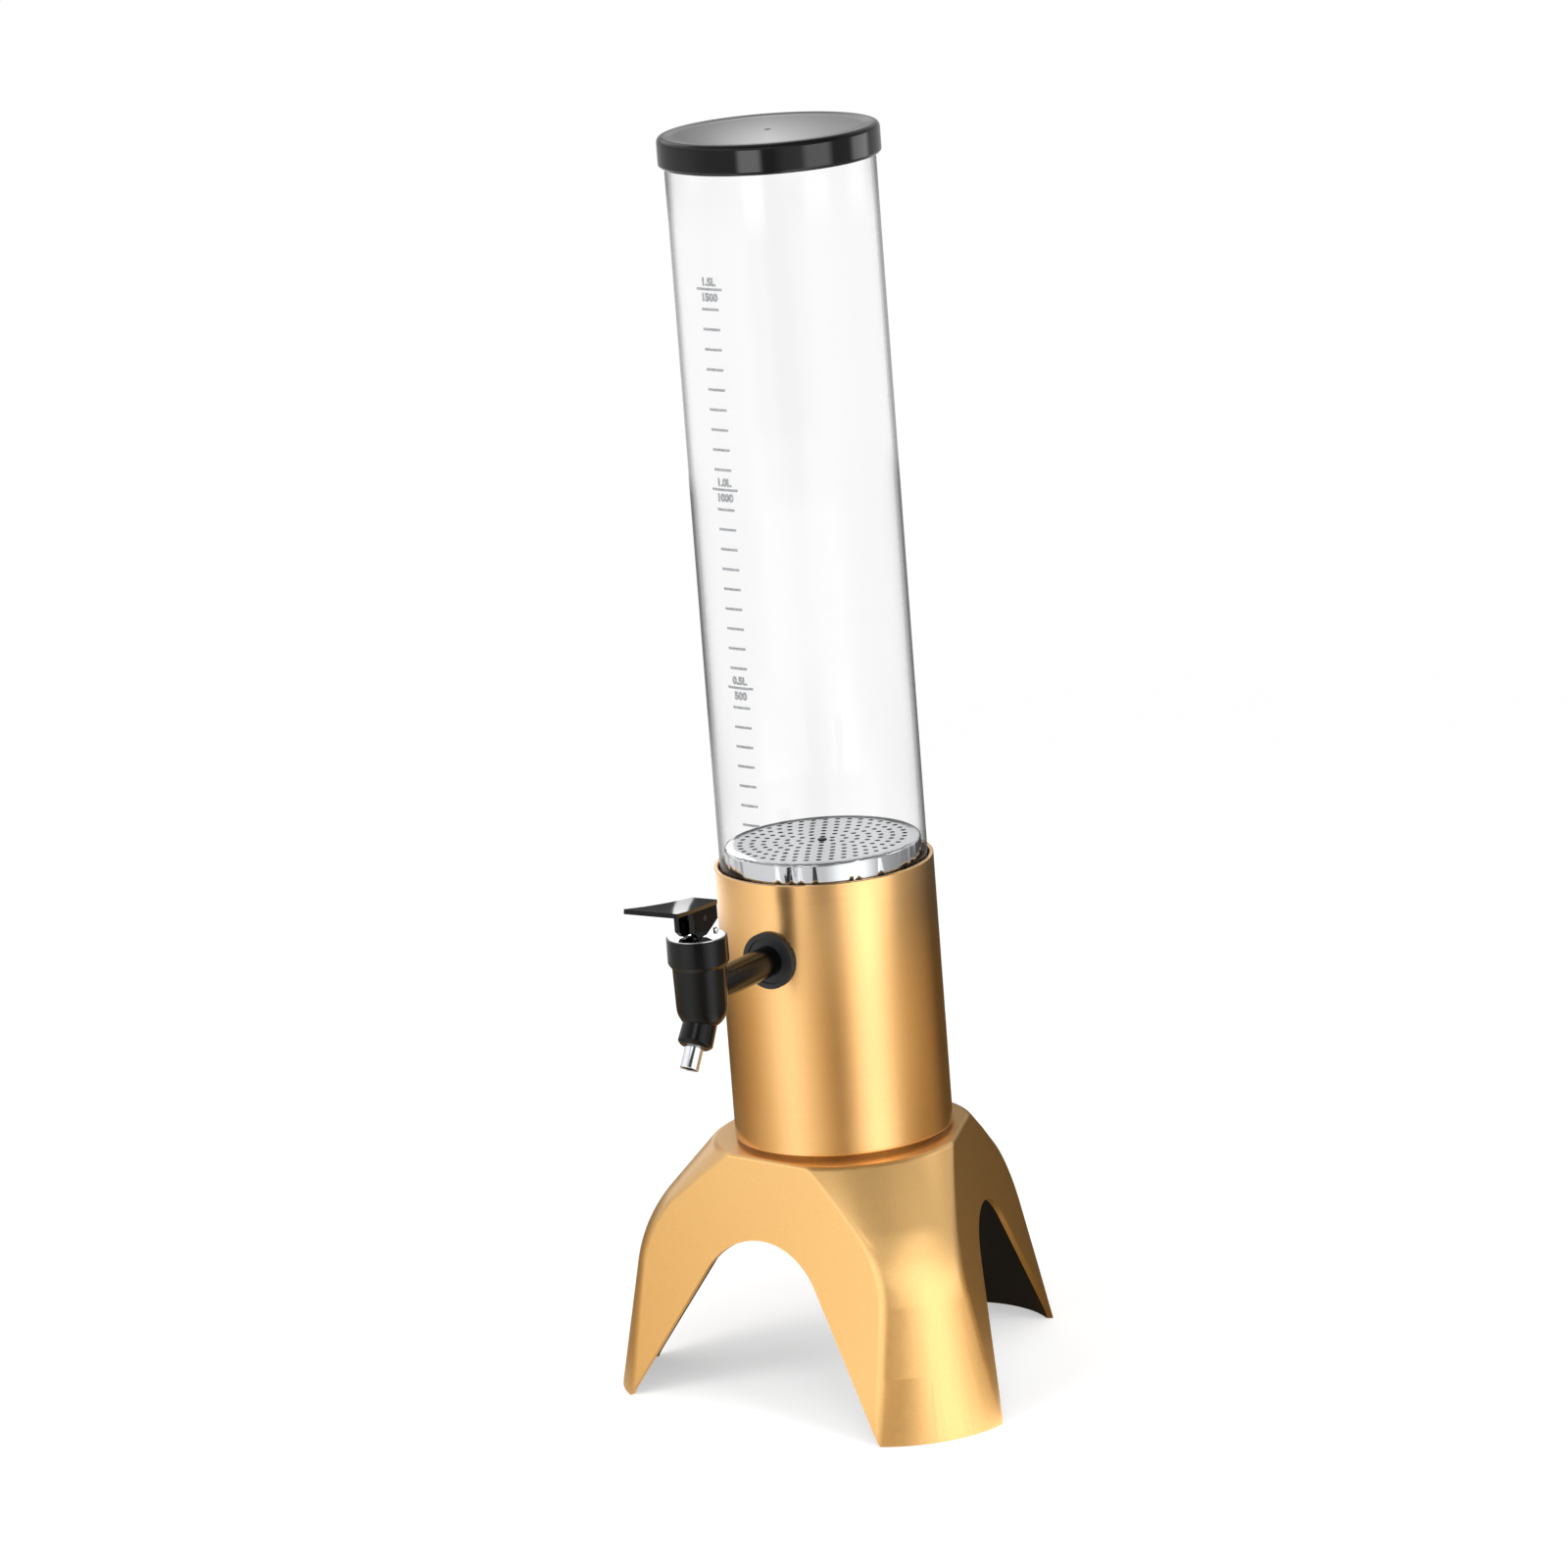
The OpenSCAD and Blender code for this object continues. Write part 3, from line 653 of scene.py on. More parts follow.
def turn(name: str, profile: Profile, segments: int, hollow: bool) -> Solid:
    """Turns an outline about Z: a ring is drawn out and scaled from point to point.

    Args:
        name: the piece's name.
        profile: radius and height of each ring, in metres.
        segments: sides round the axis.
        hollow: whether the last ring joins the first round a bore; else both ends are capped.

    Returns:
        The turned piece, at the world's origin.
    """
    fill = "NOTHING" if hollow else "NGON"
    radius, height = profile[0]
    bpy.ops.mesh.primitive_circle_add(vertices=segments, radius=radius, fill_type=fill)
    obj = bpy.context.object
    obj.name = name
    obj.location.z = height
    settle(obj)
    extrude = bpy.ops.mesh.extrude_edges_move if hollow else bpy.ops.mesh.extrude_region_move
    with editing(obj, "EDGE"):
        pick_all()
        for (r0, z0), (r1, z1) in zip(profile, profile[1:]):
            extrude(TRANSFORM_OT_translate={"value": (0, 0, z1 - z0)})
            bpy.ops.transform.resize(value=(r1 / r0, r1 / r0, 1), center_override=(0, 0, z1))
        if hollow:
            bpy.ops.mesh.select_all(action="DESELECT")
            bpy.ops.mesh.select_non_manifold()
            bpy.ops.mesh.bridge_edge_loops()
        pick_all()
        bpy.ops.mesh.normals_make_consistent(inside=False)
    face_out(obj)
    return obj


def put(obj: Solid, place: Vector, tilt_deg: float = 0.0) -> None:
    """Moves a piece into place, tilted about X, and leaves it at the origin.

    Args:
        obj: the piece.
        place: where its own origin goes.
        tilt_deg: the turn about X, in degrees.
    """
    obj.location = place
    obj.rotation_euler = (math.radians(tilt_deg), 0, 0)
    settle(obj)


def combine(obj: Solid, tool: Solid, how: str) -> None:
    """Joins (UNION) or cuts (DIFFERENCE) a solid with another, which is deleted."""
    add_modifier(obj, "BOOLEAN", object=tool, operation=how, solver="EXACT")
    bpy.data.objects.remove(tool, do_unlink=True)


@dataclass
class Piece:
    """One finished piece: the object, its body, its slot and what it stands for."""

    obj: Solid
    slot: str
    stands_for: tuple[str, ...] = ()
    finish: str = ""
    body: Body = Body.TOWER

    def place(self, wardrobe: Wardrobe) -> None:
        """Dresses the piece and lets it ride on its body.

        Args:
            wardrobe: where finishes come from.
        """
        wardrobe.dress(self.obj, self.finish or self.slot)
        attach(self.obj, self.body.value)
        if self.stands_for:
            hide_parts(*self.stands_for)
        LOG.info("%s: %d faces on %s", self.obj.name, len(self.obj.data.polygons), self.body.value)


@dataclass
class BaseShell:
    """The three-legged moulded base: a skin over the lofted shell, its edges rounded."""

    edge_mm: float = 0.5
    shade_deg: float = 28.0
    pair_deg: float = 12.0
    turn_deg: float = -8.15
    arches: int = 3
    face_reach: float = 74.0
    face_lean: float = 11.3
    rim: float = 3.2
    under: float = 110.0
    rim_facing: float = 0.4
    upright: float = 0.02
    floor_gap: float = 0.5

    def pair_up(self) -> None:
        """Joins the lofted surface's triangles into four-sided faces, for an even sheen."""
        pick_all()
        bpy.ops.mesh.tris_convert_to_quads(
            face_threshold=math.radians(self.pair_deg), shape_threshold=math.pi
        )

    def dark_inside(self, face: Face) -> bool:
        """Whether a face is inside the shell, which is drawn dark.

        Args:
            face: a face of the shell.

        Returns:
            True inside the legs and under the deck, and False outside and on the arches' rims.
        """
        place = (face.center - AXIS) / MM
        normal = face.normal
        plane = self.face_reach - place.z * math.tan(math.radians(self.face_lean))
        for k in range(self.arches):
            a = math.radians(self.turn_deg + 360 / self.arches * k)
            out = Vector((math.sin(a), -math.cos(a), 0))
            if abs(place.dot(out) - plane) < self.rim and abs(normal.dot(out)) < self.rim_facing:
                return False
        boss = abs(normal.z) < self.upright and place.to_2d().length < self.face_reach / 2
        within = self.floor_gap < place.z < self.under
        return within and (normal.z < -self.upright or boss)

    def in_seat(self, face: Face) -> bool:
        """Whether a face is a wall of the sleeve's seat, which gets a darker gold as painted shade.
        """
        return face.center.z > self.under * MM and abs(face.normal.z) < self.upright

    def build(self) -> list[Piece]:
        """Makes the base's skin: gold outside, dark inside, and a darker gold painted as shade on
        the seat's walls.

        Returns:
            The base, as one piece.
        """
        shell = merged_copy("tripod_base", "base_shell")
        with editing(shell):
            self.pair_up()
        # Number 2 paints shade on the seat's walls; number 1 is the dark inside
        for face in shell.data.polygons:
            face.material_index = 2 if self.in_seat(face) else int(self.dark_inside(face))
        soften(shell, self.edge_mm)
        weighted(shell, self.shade_deg)
        finish = "moulded_gold inside_plastic seat_gold"
        return [Piece(shell, "moulded_gold", ("tripod_base",), finish)]


@dataclass
class Cylinders:
    """The metal sleeve and the clear tube: turned pipes with a hole for the tap's shank."""

    sleeve_wall: float = 1.8
    tube_wall: float = 2.0
    rim: float = 0.5
    hole_r: float = 7.05
    hole_z: float = 199.9
    band: float = 10.0
    drill_sides: int = 48
    segments: int = 192

    def pipe(self, node: str, name: str, wall: float) -> Solid:
        """One pipe as long and as wide as a CAD node.

        Args:
            node: the CAD node.
            name: the piece's name.
            wall: the pipe's wall in millimetres.

        Returns:
            The pipe, in its place.
        """
        out, foot, top = round_size(node)
        levels = [self.hole_z + side * self.band for side in (-1, 1)]
        corners = [(out - wall, foot, 0), (out, foot, self.rim)]
        corners += [(out, z, 0) for z in levels]
        corners += [(out, top, self.rim), (out - wall, top, self.rim)]
        corners += [(out - wall, z, 0) for z in reversed(levels)]
        pipe = turn(name, rounded(corners, True), self.segments, True)
        put(pipe, AXIS)
        line = [(self.hole_r * MM, 0), (self.hole_r * MM, out * MM * 2)]
        drill = turn("drill", line, self.drill_sides, False)
        put(drill, AXIS + Vector((0, 0, self.hole_z * MM)), 90)
        combine(pipe, drill, "DIFFERENCE")
        weighted(pipe)
        return pipe

    def build(self) -> list[Piece]:
        """Turns both pipes.

        Returns:
            The sleeve and the tube.
        """
        sleeve = self.pipe("sleeve", "metal_sleeve", self.sleeve_wall)
        tube = self.pipe("tube", "clear_tube", self.tube_wall)
        # The bore takes the second finish, with less painted edge shade
        for face in tube.data.polygons:
            face.material_index = int(face.normal.dot(face.center - AXIS) < 0)
        return [
            Piece(sleeve, "brushed_gold", ("sleeve",)),
            Piece(tube, "clear_acrylic", ("tube",), "clear_acrylic acrylic_bore"),
        ]


@dataclass
class Lid:
    """The black lid: a turned cap with a dished top, a round edge, a lip and a vent."""

    vent_r: float = 1.2
    top_t: float = 2.6
    wall: float = 2.1
    dish: float = 0.5
    rim_w: float = 7.0
    edge: float = 2.8
    lip: float = 1.6
    segments: int = 192

    def build(self) -> list[Piece]:
        """Turns the lid.

        Returns:
            The lid, as one piece.
        """
        out, foot, top = round_size("lid")
        floor = top - self.dish
        corners = [
            (self.vent_r, floor, 0.4),
            (out - self.rim_w, floor, 1.5),
            (out - self.edge, top, 0.6),
            (out, top, self.edge),
            (out, foot, self.lip),
            (out - self.wall, foot, 0.2),
            (out - self.wall, top - self.top_t, 0.4),
            (self.vent_r, top - self.top_t, 0),
        ]
        cap = turn("tower_lid", rounded(corners, True, 6), self.segments, True)
        put(cap, AXIS)
        weighted(cap)
        return [Piece(cap, "gloss_black", ("lid",), body=Body.LID)]


@dataclass
class Strainer:
    """The perforated steel cup inside the tube, whose hole walls are painted dark as shade."""

    holes_within: float = 39.0 * MM
    flat: float = 0.3
    rivet_r: float = 2.0
    rivet_rise: float = 0.5
    rivet_sides: int = 32

    def build(self) -> list[Piece]:
        """Makes the strainer's skin.

        Returns:
            The cup and its rivet.
        """
        cup = merged_copy("strainer", "perforated_strainer")
        # Hole walls inside the pattern take the second finish, a dark steel as painted shade
        for face in cup.data.polygons:
            inner = (face.center - AXIS).to_2d().length < self.holes_within
            face.material_index = int(inner and face.normal.z < self.flat)
        smooth(cup)
        top = round_size("strainer")[2]
        corners = [
            (self.rivet_r, top - self.rivet_rise, 0),
            (self.rivet_r, top + self.rivet_rise, self.rivet_rise * 0.9),
            (self.rivet_r * 0.1, top + self.rivet_rise, 0),
        ]
        rivet = turn("strainer_rivet", rounded(corners, False), self.rivet_sides, False)
        put(rivet, AXIS)
        smooth(rivet)
        finish = "perforated_steel punched_steel"
        return [Piece(cup, "perforated_steel", ("strainer",), finish), Piece(rivet, "dark_plastic")]


@dataclass
class Tap:
    """The tap: turned barrel and spout neck, bonnet with its peg, nozzle and flange gasket."""

    collar_r: float = 13.0
    collar_top: float = 224.5
    collar_foot: float = 213.8
    barrel_top: float = 211.4
    barrel_foot: float = 194.5
    barrel_r: float = 11.4
    foot_r: float = 11.0
    shoulder_r: float = 6.2
    shoulder_z: float = 185.9
    shoulder_bend: float = 1.5
    shoulder_steps: int = 10
    chamber_r: float = 7.4
    spout_z: float = 191.6
    spout_tilt: float = 148.0
    neck_r: float = 7.1
    neck_end_r: float = 7.6
    neck_tip_r: float = 6.1
    neck_end: float = 14.2
    neck_len: float = 15.6
    nozzle_r: float = 4.0
    nozzle_bore: float = 3.1
    nozzle_tail_r: float = 3.7
    nozzle_step: float = 16.2
    nozzle_from: float = 8.6
    nozzle_to: float = 25.4
    bonnet_r: float = 12.3
    bonnet_t: float = 2.2
    bonnet_proud: float = 0.5
    stem_bore: float = 2.36
    peg_r: float = 1.2
    peg_rise: float = 1.5
    peg_out: float = 9.9
    peg_turn: float = 20.0
    fit: float = 0.05
    core_r: float = 1.0
    peg_sides: int = 32
    neck_sides: int = 96
    nozzle_sides: int = 64
    segments: int = 128

    def along_spout(self, obj: Solid) -> None:
        """Puts a turned piece on the spout's axis."""
        put(obj, TAP + Vector((0, 0, self.spout_z * MM)), self.spout_tilt)

    def housing(self) -> Solid:
        """The black body: barrel, collar and rounded foot in one, with the spout's neck.

        Returns:
            The housing, in its place.
        """
        seat = self.collar_top - self.bonnet_t + self.bonnet_proud
        corners = [
            (self.chamber_r, self.barrel_foot, 0),
            (self.chamber_r, seat, 0),
            (self.bonnet_r + self.fit, seat, 0),
            (self.bonnet_r + self.fit, self.collar_top, 0.15),
            (self.collar_r, self.collar_top, 0.25),
            (self.collar_r, self.collar_foot, 0.5),
            (self.barrel_r, self.barrel_top, 0.6),
            (self.foot_r, self.barrel_foot, 0),
        ]
        outline = rounded(corners, False)
        for i in range(1, self.shoulder_steps + 1):
            a = math.pi / 2 * i / self.shoulder_steps
            bend = math.cos(a) ** self.shoulder_bend
            r = self.shoulder_r + (self.foot_r - self.shoulder_r) * bend
            drop = (self.barrel_foot - self.shoulder_z) * math.sin(a)
            outline.append((r * MM, (self.barrel_foot - drop) * MM))
        outline.append((self.core_r * MM, self.shoulder_z * MM))
        outline.append((self.core_r * MM, self.barrel_foot * MM))
        barrel = turn("tap_housing", outline, self.segments, True)
        put(barrel, TAP)
        neck_corners = [
            (self.neck_r, 0, 0),
            (self.neck_end_r, self.neck_end, 0.5),
            (self.neck_tip_r, self.neck_len, 0.3),
            (self.nozzle_tail_r + self.fit, self.neck_len, 0),
            (self.nozzle_tail_r + self.fit, self.nozzle_from, 0),
        ]
        neck = turn("spout_neck", rounded(neck_corners, False), self.neck_sides, False)
        self.along_spout(neck)
        combine(barrel, neck, "UNION")
        weighted(barrel)
        return barrel

    def bonnet(self) -> Solid:
        """The bright disc on the collar, with its small domed peg.

        Returns:
            The disc, in its place.
        """
        top = self.collar_top + self.bonnet_proud
        corners = [
            (self.stem_bore, top, 0.3),
            (self.bonnet_r, top, 0.3),
            (self.bonnet_r, top - self.bonnet_t, 0.1),
            (self.stem_bore, top - self.bonnet_t, 0),
        ]
        disc = turn("tap_bonnet", rounded(corners, True), self.segments, True)
        put(disc, TAP)
        peg_corners = [
            (self.peg_r, top - self.bonnet_t / 2, 0),
            (self.peg_r, top + self.peg_rise, self.peg_r * 0.8),
            (self.peg_r * 0.1, top + self.peg_rise, 0),
        ]
        peg = turn("peg", rounded(peg_corners, False, 6), self.peg_sides, False)
        a = math.radians(self.peg_turn)
        spot = Vector((math.sin(a), math.cos(a), 0)) * self.peg_out * MM
        put(peg, TAP + spot)
        combine(disc, peg, "UNION")
        weighted(disc)
        return disc

    def nozzle(self) -> Solid:
        """The plain metal pipe that the drink leaves by.

        Returns:
            The pipe, in its place.
        """
        corners = [
            (self.nozzle_bore, self.nozzle_from, 0),
            (self.nozzle_tail_r, self.nozzle_from, 0),
            (self.nozzle_tail_r, self.nozzle_step, 0),
            (self.nozzle_r, self.nozzle_step, 0.1),
            (self.nozzle_r, self.nozzle_to, 0.35),
            (self.nozzle_bore, self.nozzle_to, 0.35),
        ]
        pipe = turn("spout_nozzle", rounded(corners, True), self.nozzle_sides, True)
        self.along_spout(pipe)
        weighted(pipe)
        return pipe

    def build(self) -> list[Piece]:
        """Makes all that is fixed on the tap.

        Returns:
            Housing, bonnet, nozzle and gasket.
        """
        gasket = merged_copy("outer_gasket", "flange_gasket")
        smooth(gasket)
        return [
            Piece(self.housing(), "dark_plastic", ("tap_body",)),
            Piece(self.bonnet(), "chrome", ("bonnet",)),
            Piece(self.nozzle(), "chrome", ("nozzle",)),
            Piece(gasket, "rubber", ("outer_gasket",)),
        ]


@dataclass
class Lever:
    """The black lever: paddle with a hollowed, polished top, and head with moulded edges."""

    edge_mm: float = 0.45
    hollow: float = 0.5 * MM
    strips: int = 14
    level: float = 0.97
    least: float = 5 * MM
    edge_deg: float = 30.0
    edge_steps: int = 3

    def is_top(self, face: Face) -> bool:
        """Whether a face is the paddle's top."""
        return face.normal.z > self.level and face.area > self.least**2

    def hollow_top(self, lever: Solid) -> None:
        """Cuts the paddle's top into strips and sinks them along a shallow arc.

        Args:
            lever: the lever's skin.
        """
        pick_faces(lever, self.is_top)
        tops = [f for f in lever.data.polygons if f.select]
        ends = [lever.data.vertices[v].co.y for f in tops for v in f.vertices]
        head, tip = max(ends), min(ends)
        with editing(lever):
            for k in range(1, self.strips):
                y = head + (tip - head) * k / self.strips
                bpy.ops.mesh.bisect(plane_co=(0, y, 0), plane_no=(0, 1, 0))
                bpy.ops.mesh.select_all(action="DESELECT")
                bpy.ops.object.mode_set(mode="OBJECT")
                pick_faces(lever, lambda f: f.normal.z > self.level)
                bpy.ops.object.mode_set(mode="EDIT")
        pick_faces(lever, lambda f: f.normal.z > self.level)
        places = {v for f in lever.data.polygons if f.select for v in f.vertices}
        for v in places:
            spot = lever.data.vertices[v].co
            along = 2 * (spot.y - head) / (tip - head) - 1
            spot.z -= self.hollow * (1 - along**2)
        lever.data.update()

    def build(self) -> list[Piece]:
        """Makes the lever's skin.

        Returns:
            The lever, as one piece.
        """
        lever = merged_copy("lever", "tap_lever")
        self.hollow_top(lever)
        for face in lever.data.polygons:
            face.material_index = int(face.normal.z > self.level)
        soften(lever, self.edge_mm, self.edge_deg, self.edge_steps)
        weighted(lever)
        finish = "dark_plastic polished_black"
        return [Piece(lever, "dark_plastic", ("lever",), finish, Body.LEVER)]


@dataclass
class PrintedScale:
    """The volume scale printed on the tube: a tick every 50 ml and a number every 500."""

    azimuth_deg: float = -8.1
    step: float = 8.6 * MM
    top: float = 0.4903
    steps: int = 27
    tick_long: float = 9.4 * MM
    major_long: float = 14.0 * MM
    line: float = 1.1 * MM
    major_every: int = 10
    lift: float = 0.06 * MM
    film: float = 0.08 * MM
    letter: float = 4.5 * MM
    bold: float = 0.3 * MM
    above: float = 3.0 * MM
    below: float = 3.6 * MM
    tick_parts: int = 8
    letter_steps: int = 3
    labels: tuple[tuple[str, str], ...] = (("1.5L", "1500"), ("1.0L", "1000"), ("0.5L", "500"))

    def wrap(self, obj: Solid, height: float) -> None:
        """Bends a flat piece, drawn in X and Y, round the tube at that height.

        Args:
            obj: the flat piece, centred on its own middle.
            height: the height of its middle.
        """
        low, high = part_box("tube")
        radius = (high[0] - low[0]) / 2 + self.lift
        for v in obj.data.vertices:
            angle = math.radians(self.azimuth_deg) + v.co.x / radius
            out = radius + v.co.z
            around = Vector((out * math.sin(angle), -out * math.cos(angle), height + v.co.y))
            v.co = AXIS + around
        obj.data.update()

    def tick(self, name: str, long: float, height: float) -> Solid:
        """One printed line.

        Args:
            name: the piece's name.
            long: the line's length.
            height: its height on the tube.

        Returns:
            The line, bent round the tube.
        """
        bpy.ops.mesh.primitive_grid_add(x_subdivisions=self.tick_parts, y_subdivisions=1, size=1)
        line = bpy.context.object
        line.name = name
        line.scale = (long, self.line, 1)
        settle(line)
        with editing(line):
            pick_all()
            bpy.ops.mesh.extrude_region_move(TRANSFORM_OT_translate={"value": (0, 0, self.film)})
            pick_all()
            bpy.ops.mesh.normals_make_consistent(inside=False)
        self.wrap(line, height)
        return line

    def label(self, name: str, words: str, height: float) -> Solid:
        """One printed number.

        Args:
            name: the piece's name.
            words: what it says.
            height: the height of its middle.

        Returns:
            The number, bent round the tube.
        """
        curve = bpy.data.curves.new(name, "FONT")
        curve.body = words
        curve.size = self.letter
        curve.align_x = curve.align_y = "CENTER"
        curve.extrude = self.film / 2
        curve.offset = self.bold
        curve.resolution_u = self.letter_steps
        select_only(hang(name, curve))
        bpy.ops.object.convert(target="MESH")
        text = bpy.context.object
        self.wrap(text, height)
        return text

    def build(self) -> list[Piece]:
        """Prints the whole scale: one piece for the ticks and one for each number.

        Returns:
            The prints, which ride with the tube.
        """
        lines = []
        for i in range(self.steps + 1):
            long = self.tick_long if i % self.major_every else self.major_long
            lines.append(self.tick(f"scale_tick_{i:02d}", long, self.top - i * self.step))
        bpy.ops.object.select_all(action="DESELECT")
        for line in lines:
            line.select_set(True)
        bpy.context.view_layer.objects.active = lines[0]
        bpy.ops.object.join()
        lines[0].name = "scale_ticks"
        prints = [lines[0]]
        for i, (litres, millilitres) in enumerate(self.labels):
            height = self.top - i * self.major_every * self.step
            prints.append(self.label(f"scale_litres_{i}", litres, height + self.above))
            prints.append(self.label(f"scale_millilitres_{i}", millilitres, height - self.below))
        return [Piece(mark, "clear_acrylic", finish="ink") for mark in prints]


@dataclass
class Tent:
    """A round reflector that only gloss sees: it gives metals their upright light bands."""

    radius: float = 0.42
    height: float = 1.0
    segments: int = 96
    camera_azimuth: float = 33.5
    card_size: tuple[float, float] = (0.0072, 0.09)
    card_azimuth: float = -171.45
    card_height: float = 0.27
    card_level: float = 1.7
    card_share: float = 0.98
    gain: float = 3.0
    warmth: float = 0.36
    warm_below: float = 1.2
    foot: Bands = (
        (-180, 0.1), (-116, 0.36), (-78, 0.8), (-50, 1.4), (-24, 0.85), (0, 0.3), (23, 1.6),
        (35, 2.0), (50, 1.3), (62, 0.6), (80, 0.38), (106, 0.3), (128, 0.1), (180, 0.1),
    )
    low: Bands = (
        (-180, 0.1), (-150, 0.1), (-128, 0.24), (-112, 0.36), (-95, 0.52), (-78, 0.84), (-64, 1.2),
        (-50, 1.45), (-37, 1.2), (-24, 0.85), (-11, 0.5), (0, 0.2), (11, 0.65), (23, 1.5),
        (35, 1.7), (47, 1.5), (60, 0.9), (74, 0.65), (89, 0.5), (106, 0.36), (128, 0.08),
        (180, 0.1),
    )
    mid: Bands = (
        (-180, 0.1), (-172, 1.6), (-150, 1.5), (-110, 1.0), (-83, 1.1), (-45, 1.3), (-22, 0.9),
        (-6, 0.9), (12, 0.9), (22, 1.8), (37, 3.0), (50, 1.8), (70, 0.35), (105, 0.12),
        (130, 0.05), (172, 0.05), (180, 0.1),
    )
    waist: Bands = (
        (-180, 0.1), (-172, 1.2), (-150, 1.0), (-120, 0.35), (-100, 0.6), (-83, 0.9), (-60, 1.2),
        (-50, 1.9), (-38, 1.9), (-19, 1.0), (-15, 0.02), (7, 0.02), (11, 1.2), (37, 1.7),
        (62, 1.9), (75, 0.6), (105, 0.35), (130, 0.1), (172, 0.05), (180, 0.1),
    )
    thumb: Bands = (
        (-180, 0.1), (-150, 0.12), (-120, 1.0), (-60, 1.0), (0, 0.9), (18, 1.7), (36, 2.2),
        (48, 1.4), (62, 0.6), (90, 0.4), (125, 0.7), (150, 0.2), (180, 0.1),
    )
    high: Bands = (
        (-180, 0.95), (-173, 0.95), (-171.8, 2.6), (-166, 2.6), (-163, 1.4), (-120, 1.3),
        (-60, 1.2), (-38, 1.0), (-28, 0.05), (8, 0.05), (18, 1.3), (40, 1.2), (60, 0.7), (90, 0.4),
        (125, 0.9), (172, 0.95), (180, 0.95),
    )
    top: Bands = (
        (-180, 0.5), (-130, 0.45), (-90, 0.6), (-60, 0.4), (-34, 0.4), (-29, 3.0), (-12, 3.0),
        (-7, 0.25), (3, 0.25), (14, 0.6), (30, 0.7), (37, 2.2), (58, 2.2), (65, 0.35), (86, 0.35),
        (93, 2.2), (112, 2.2), (119, 0.5), (150, 0.5), (180, 0.5),
    )
    brim: Bands = (
        (-180, 1.6), (-178, 1.3), (-175, 0.55), (-171, 0.3), (-150, 0.4), (-60, 0.4), (40, 0.6),
        (60, 0.35), (150, 0.4), (171, 0.5), (176, 0.9), (180, 1.6),
    )
    upper: Bands = (
        (-180, 0.7), (-168, 0.6), (-150, 1.0), (-90, 0.7), (-20, 0.5), (20, 0.4), (40, 0.22),
        (70, 0.15), (90, 0.3), (168, 0.5), (180, 0.7),
    )
    ceiling: Bands = (
        (-180, 0.6), (-110, 0.3), (-60, 0.2), (60, 0.15), (110, 0.1), (180, 0.6),
    )

    def ring(self, tree: Tree, turn_share: Socket, bands: Bands, warmth: float) -> Socket:
        """A ramp of light round the tower, warmer where it is dim.

        Args:
            tree: the node tree to add to.
            turn_share: 0.5 towards the camera, growing to the right as the tower sees it.
            bands: degrees from the camera's side, with the light there.
            warmth: how much green and blue the dimmest light loses.

        Returns:
            The light's socket, divided by the gain.
        """
        stops = []
        for angle, level in bands:
            keep = 1 - warmth * max(0.0, 1 - level / self.warm_below)
            part = level / self.gain
            stops.append((0.5 + angle / 360, (part, part * keep, part * keep**3, 1.0)))
        return add_node(tree, "ValToRGB", links={0: turn_share}, stops=stops).outputs[0]

    def material(self) -> Material:
        """The tent's light, by direction and height.

        Returns:
            The material.
        """
        material, tree = new_material("tent_light")
        place = add_node(tree, "TexCoord").outputs["Object"]
        quarter = math.radians(90 - self.camera_azimuth)
        settings = {"vector_type": "TEXTURE", "Location": AXIS, "Rotation": (0, 0, -quarter)}
        faced = add_node(tree, "Mapping", settings, {"Vector": place}).outputs[0]
        radial = add_node(tree, "TexGradient", {"gradient_type": "RADIAL"}, {0: faced})
        share = radial.outputs["Fac"]
        height = add_node(tree, "SeparateXYZ", links={0: place}).outputs["Z"]
        light = self.ring(tree, share, self.foot, self.warmth)
        levels = (
            (0.01, 0.035, self.low, self.warmth),
            (0.09, 0.115, self.mid, 0.0),
            (0.126, 0.136, self.waist, 0.0),
            (0.18, 0.21, self.thumb, 0.0),
            (0.318, 0.33, self.high, 0.0),
            (0.45, 0.47, self.top, 0.0),
            (0.603, 0.616, self.brim, 0.0),
            (0.63, 0.68, self.upper, 0.0),
            (0.9, 0.99, self.ceiling, 0.0),
        )
        for foot, top, bands, warmth in levels:
            blend = {"From Min": foot, "From Max": top}
            up = add_node(tree, "MapRange", blend, {"Value": height}).outputs[0]
            links = {0: up, 1: light, 2: self.ring(tree, share, bands, warmth)}
            light = add_node(tree, "MixRGB", links=links).outputs[0]
        strength = {"Strength": self.gain}
        glow = add_node(tree, "Emission", strength, {"Color": light})
        add_node(tree, "OutputMaterial", links={"Surface": glow.outputs[0]})
        return material

    def build(self) -> None:
        """Stands the tent round the tower."""
        sizes = {"radius": self.radius, "depth": self.height}
        bpy.ops.mesh.primitive_cylinder_add(vertices=self.segments, **sizes)
        tent = bpy.context.object
        tent.name = "reflection_tent"
        put(tent, AXIS + Vector((0, 0, self.height / 2)))
        tent.data.materials.append(self.material())
        self.only_for_gloss(tent)
        self.hang_card()

    def only_for_gloss(self, obj: Solid) -> None:
        """Hides a studio piece from all but glossy rays.

        Args:
            obj: the tent or the card.
        """
        obj.visible_camera = False
        obj.visible_diffuse = False
        obj.visible_transmission = False
        obj.visible_shadow = False

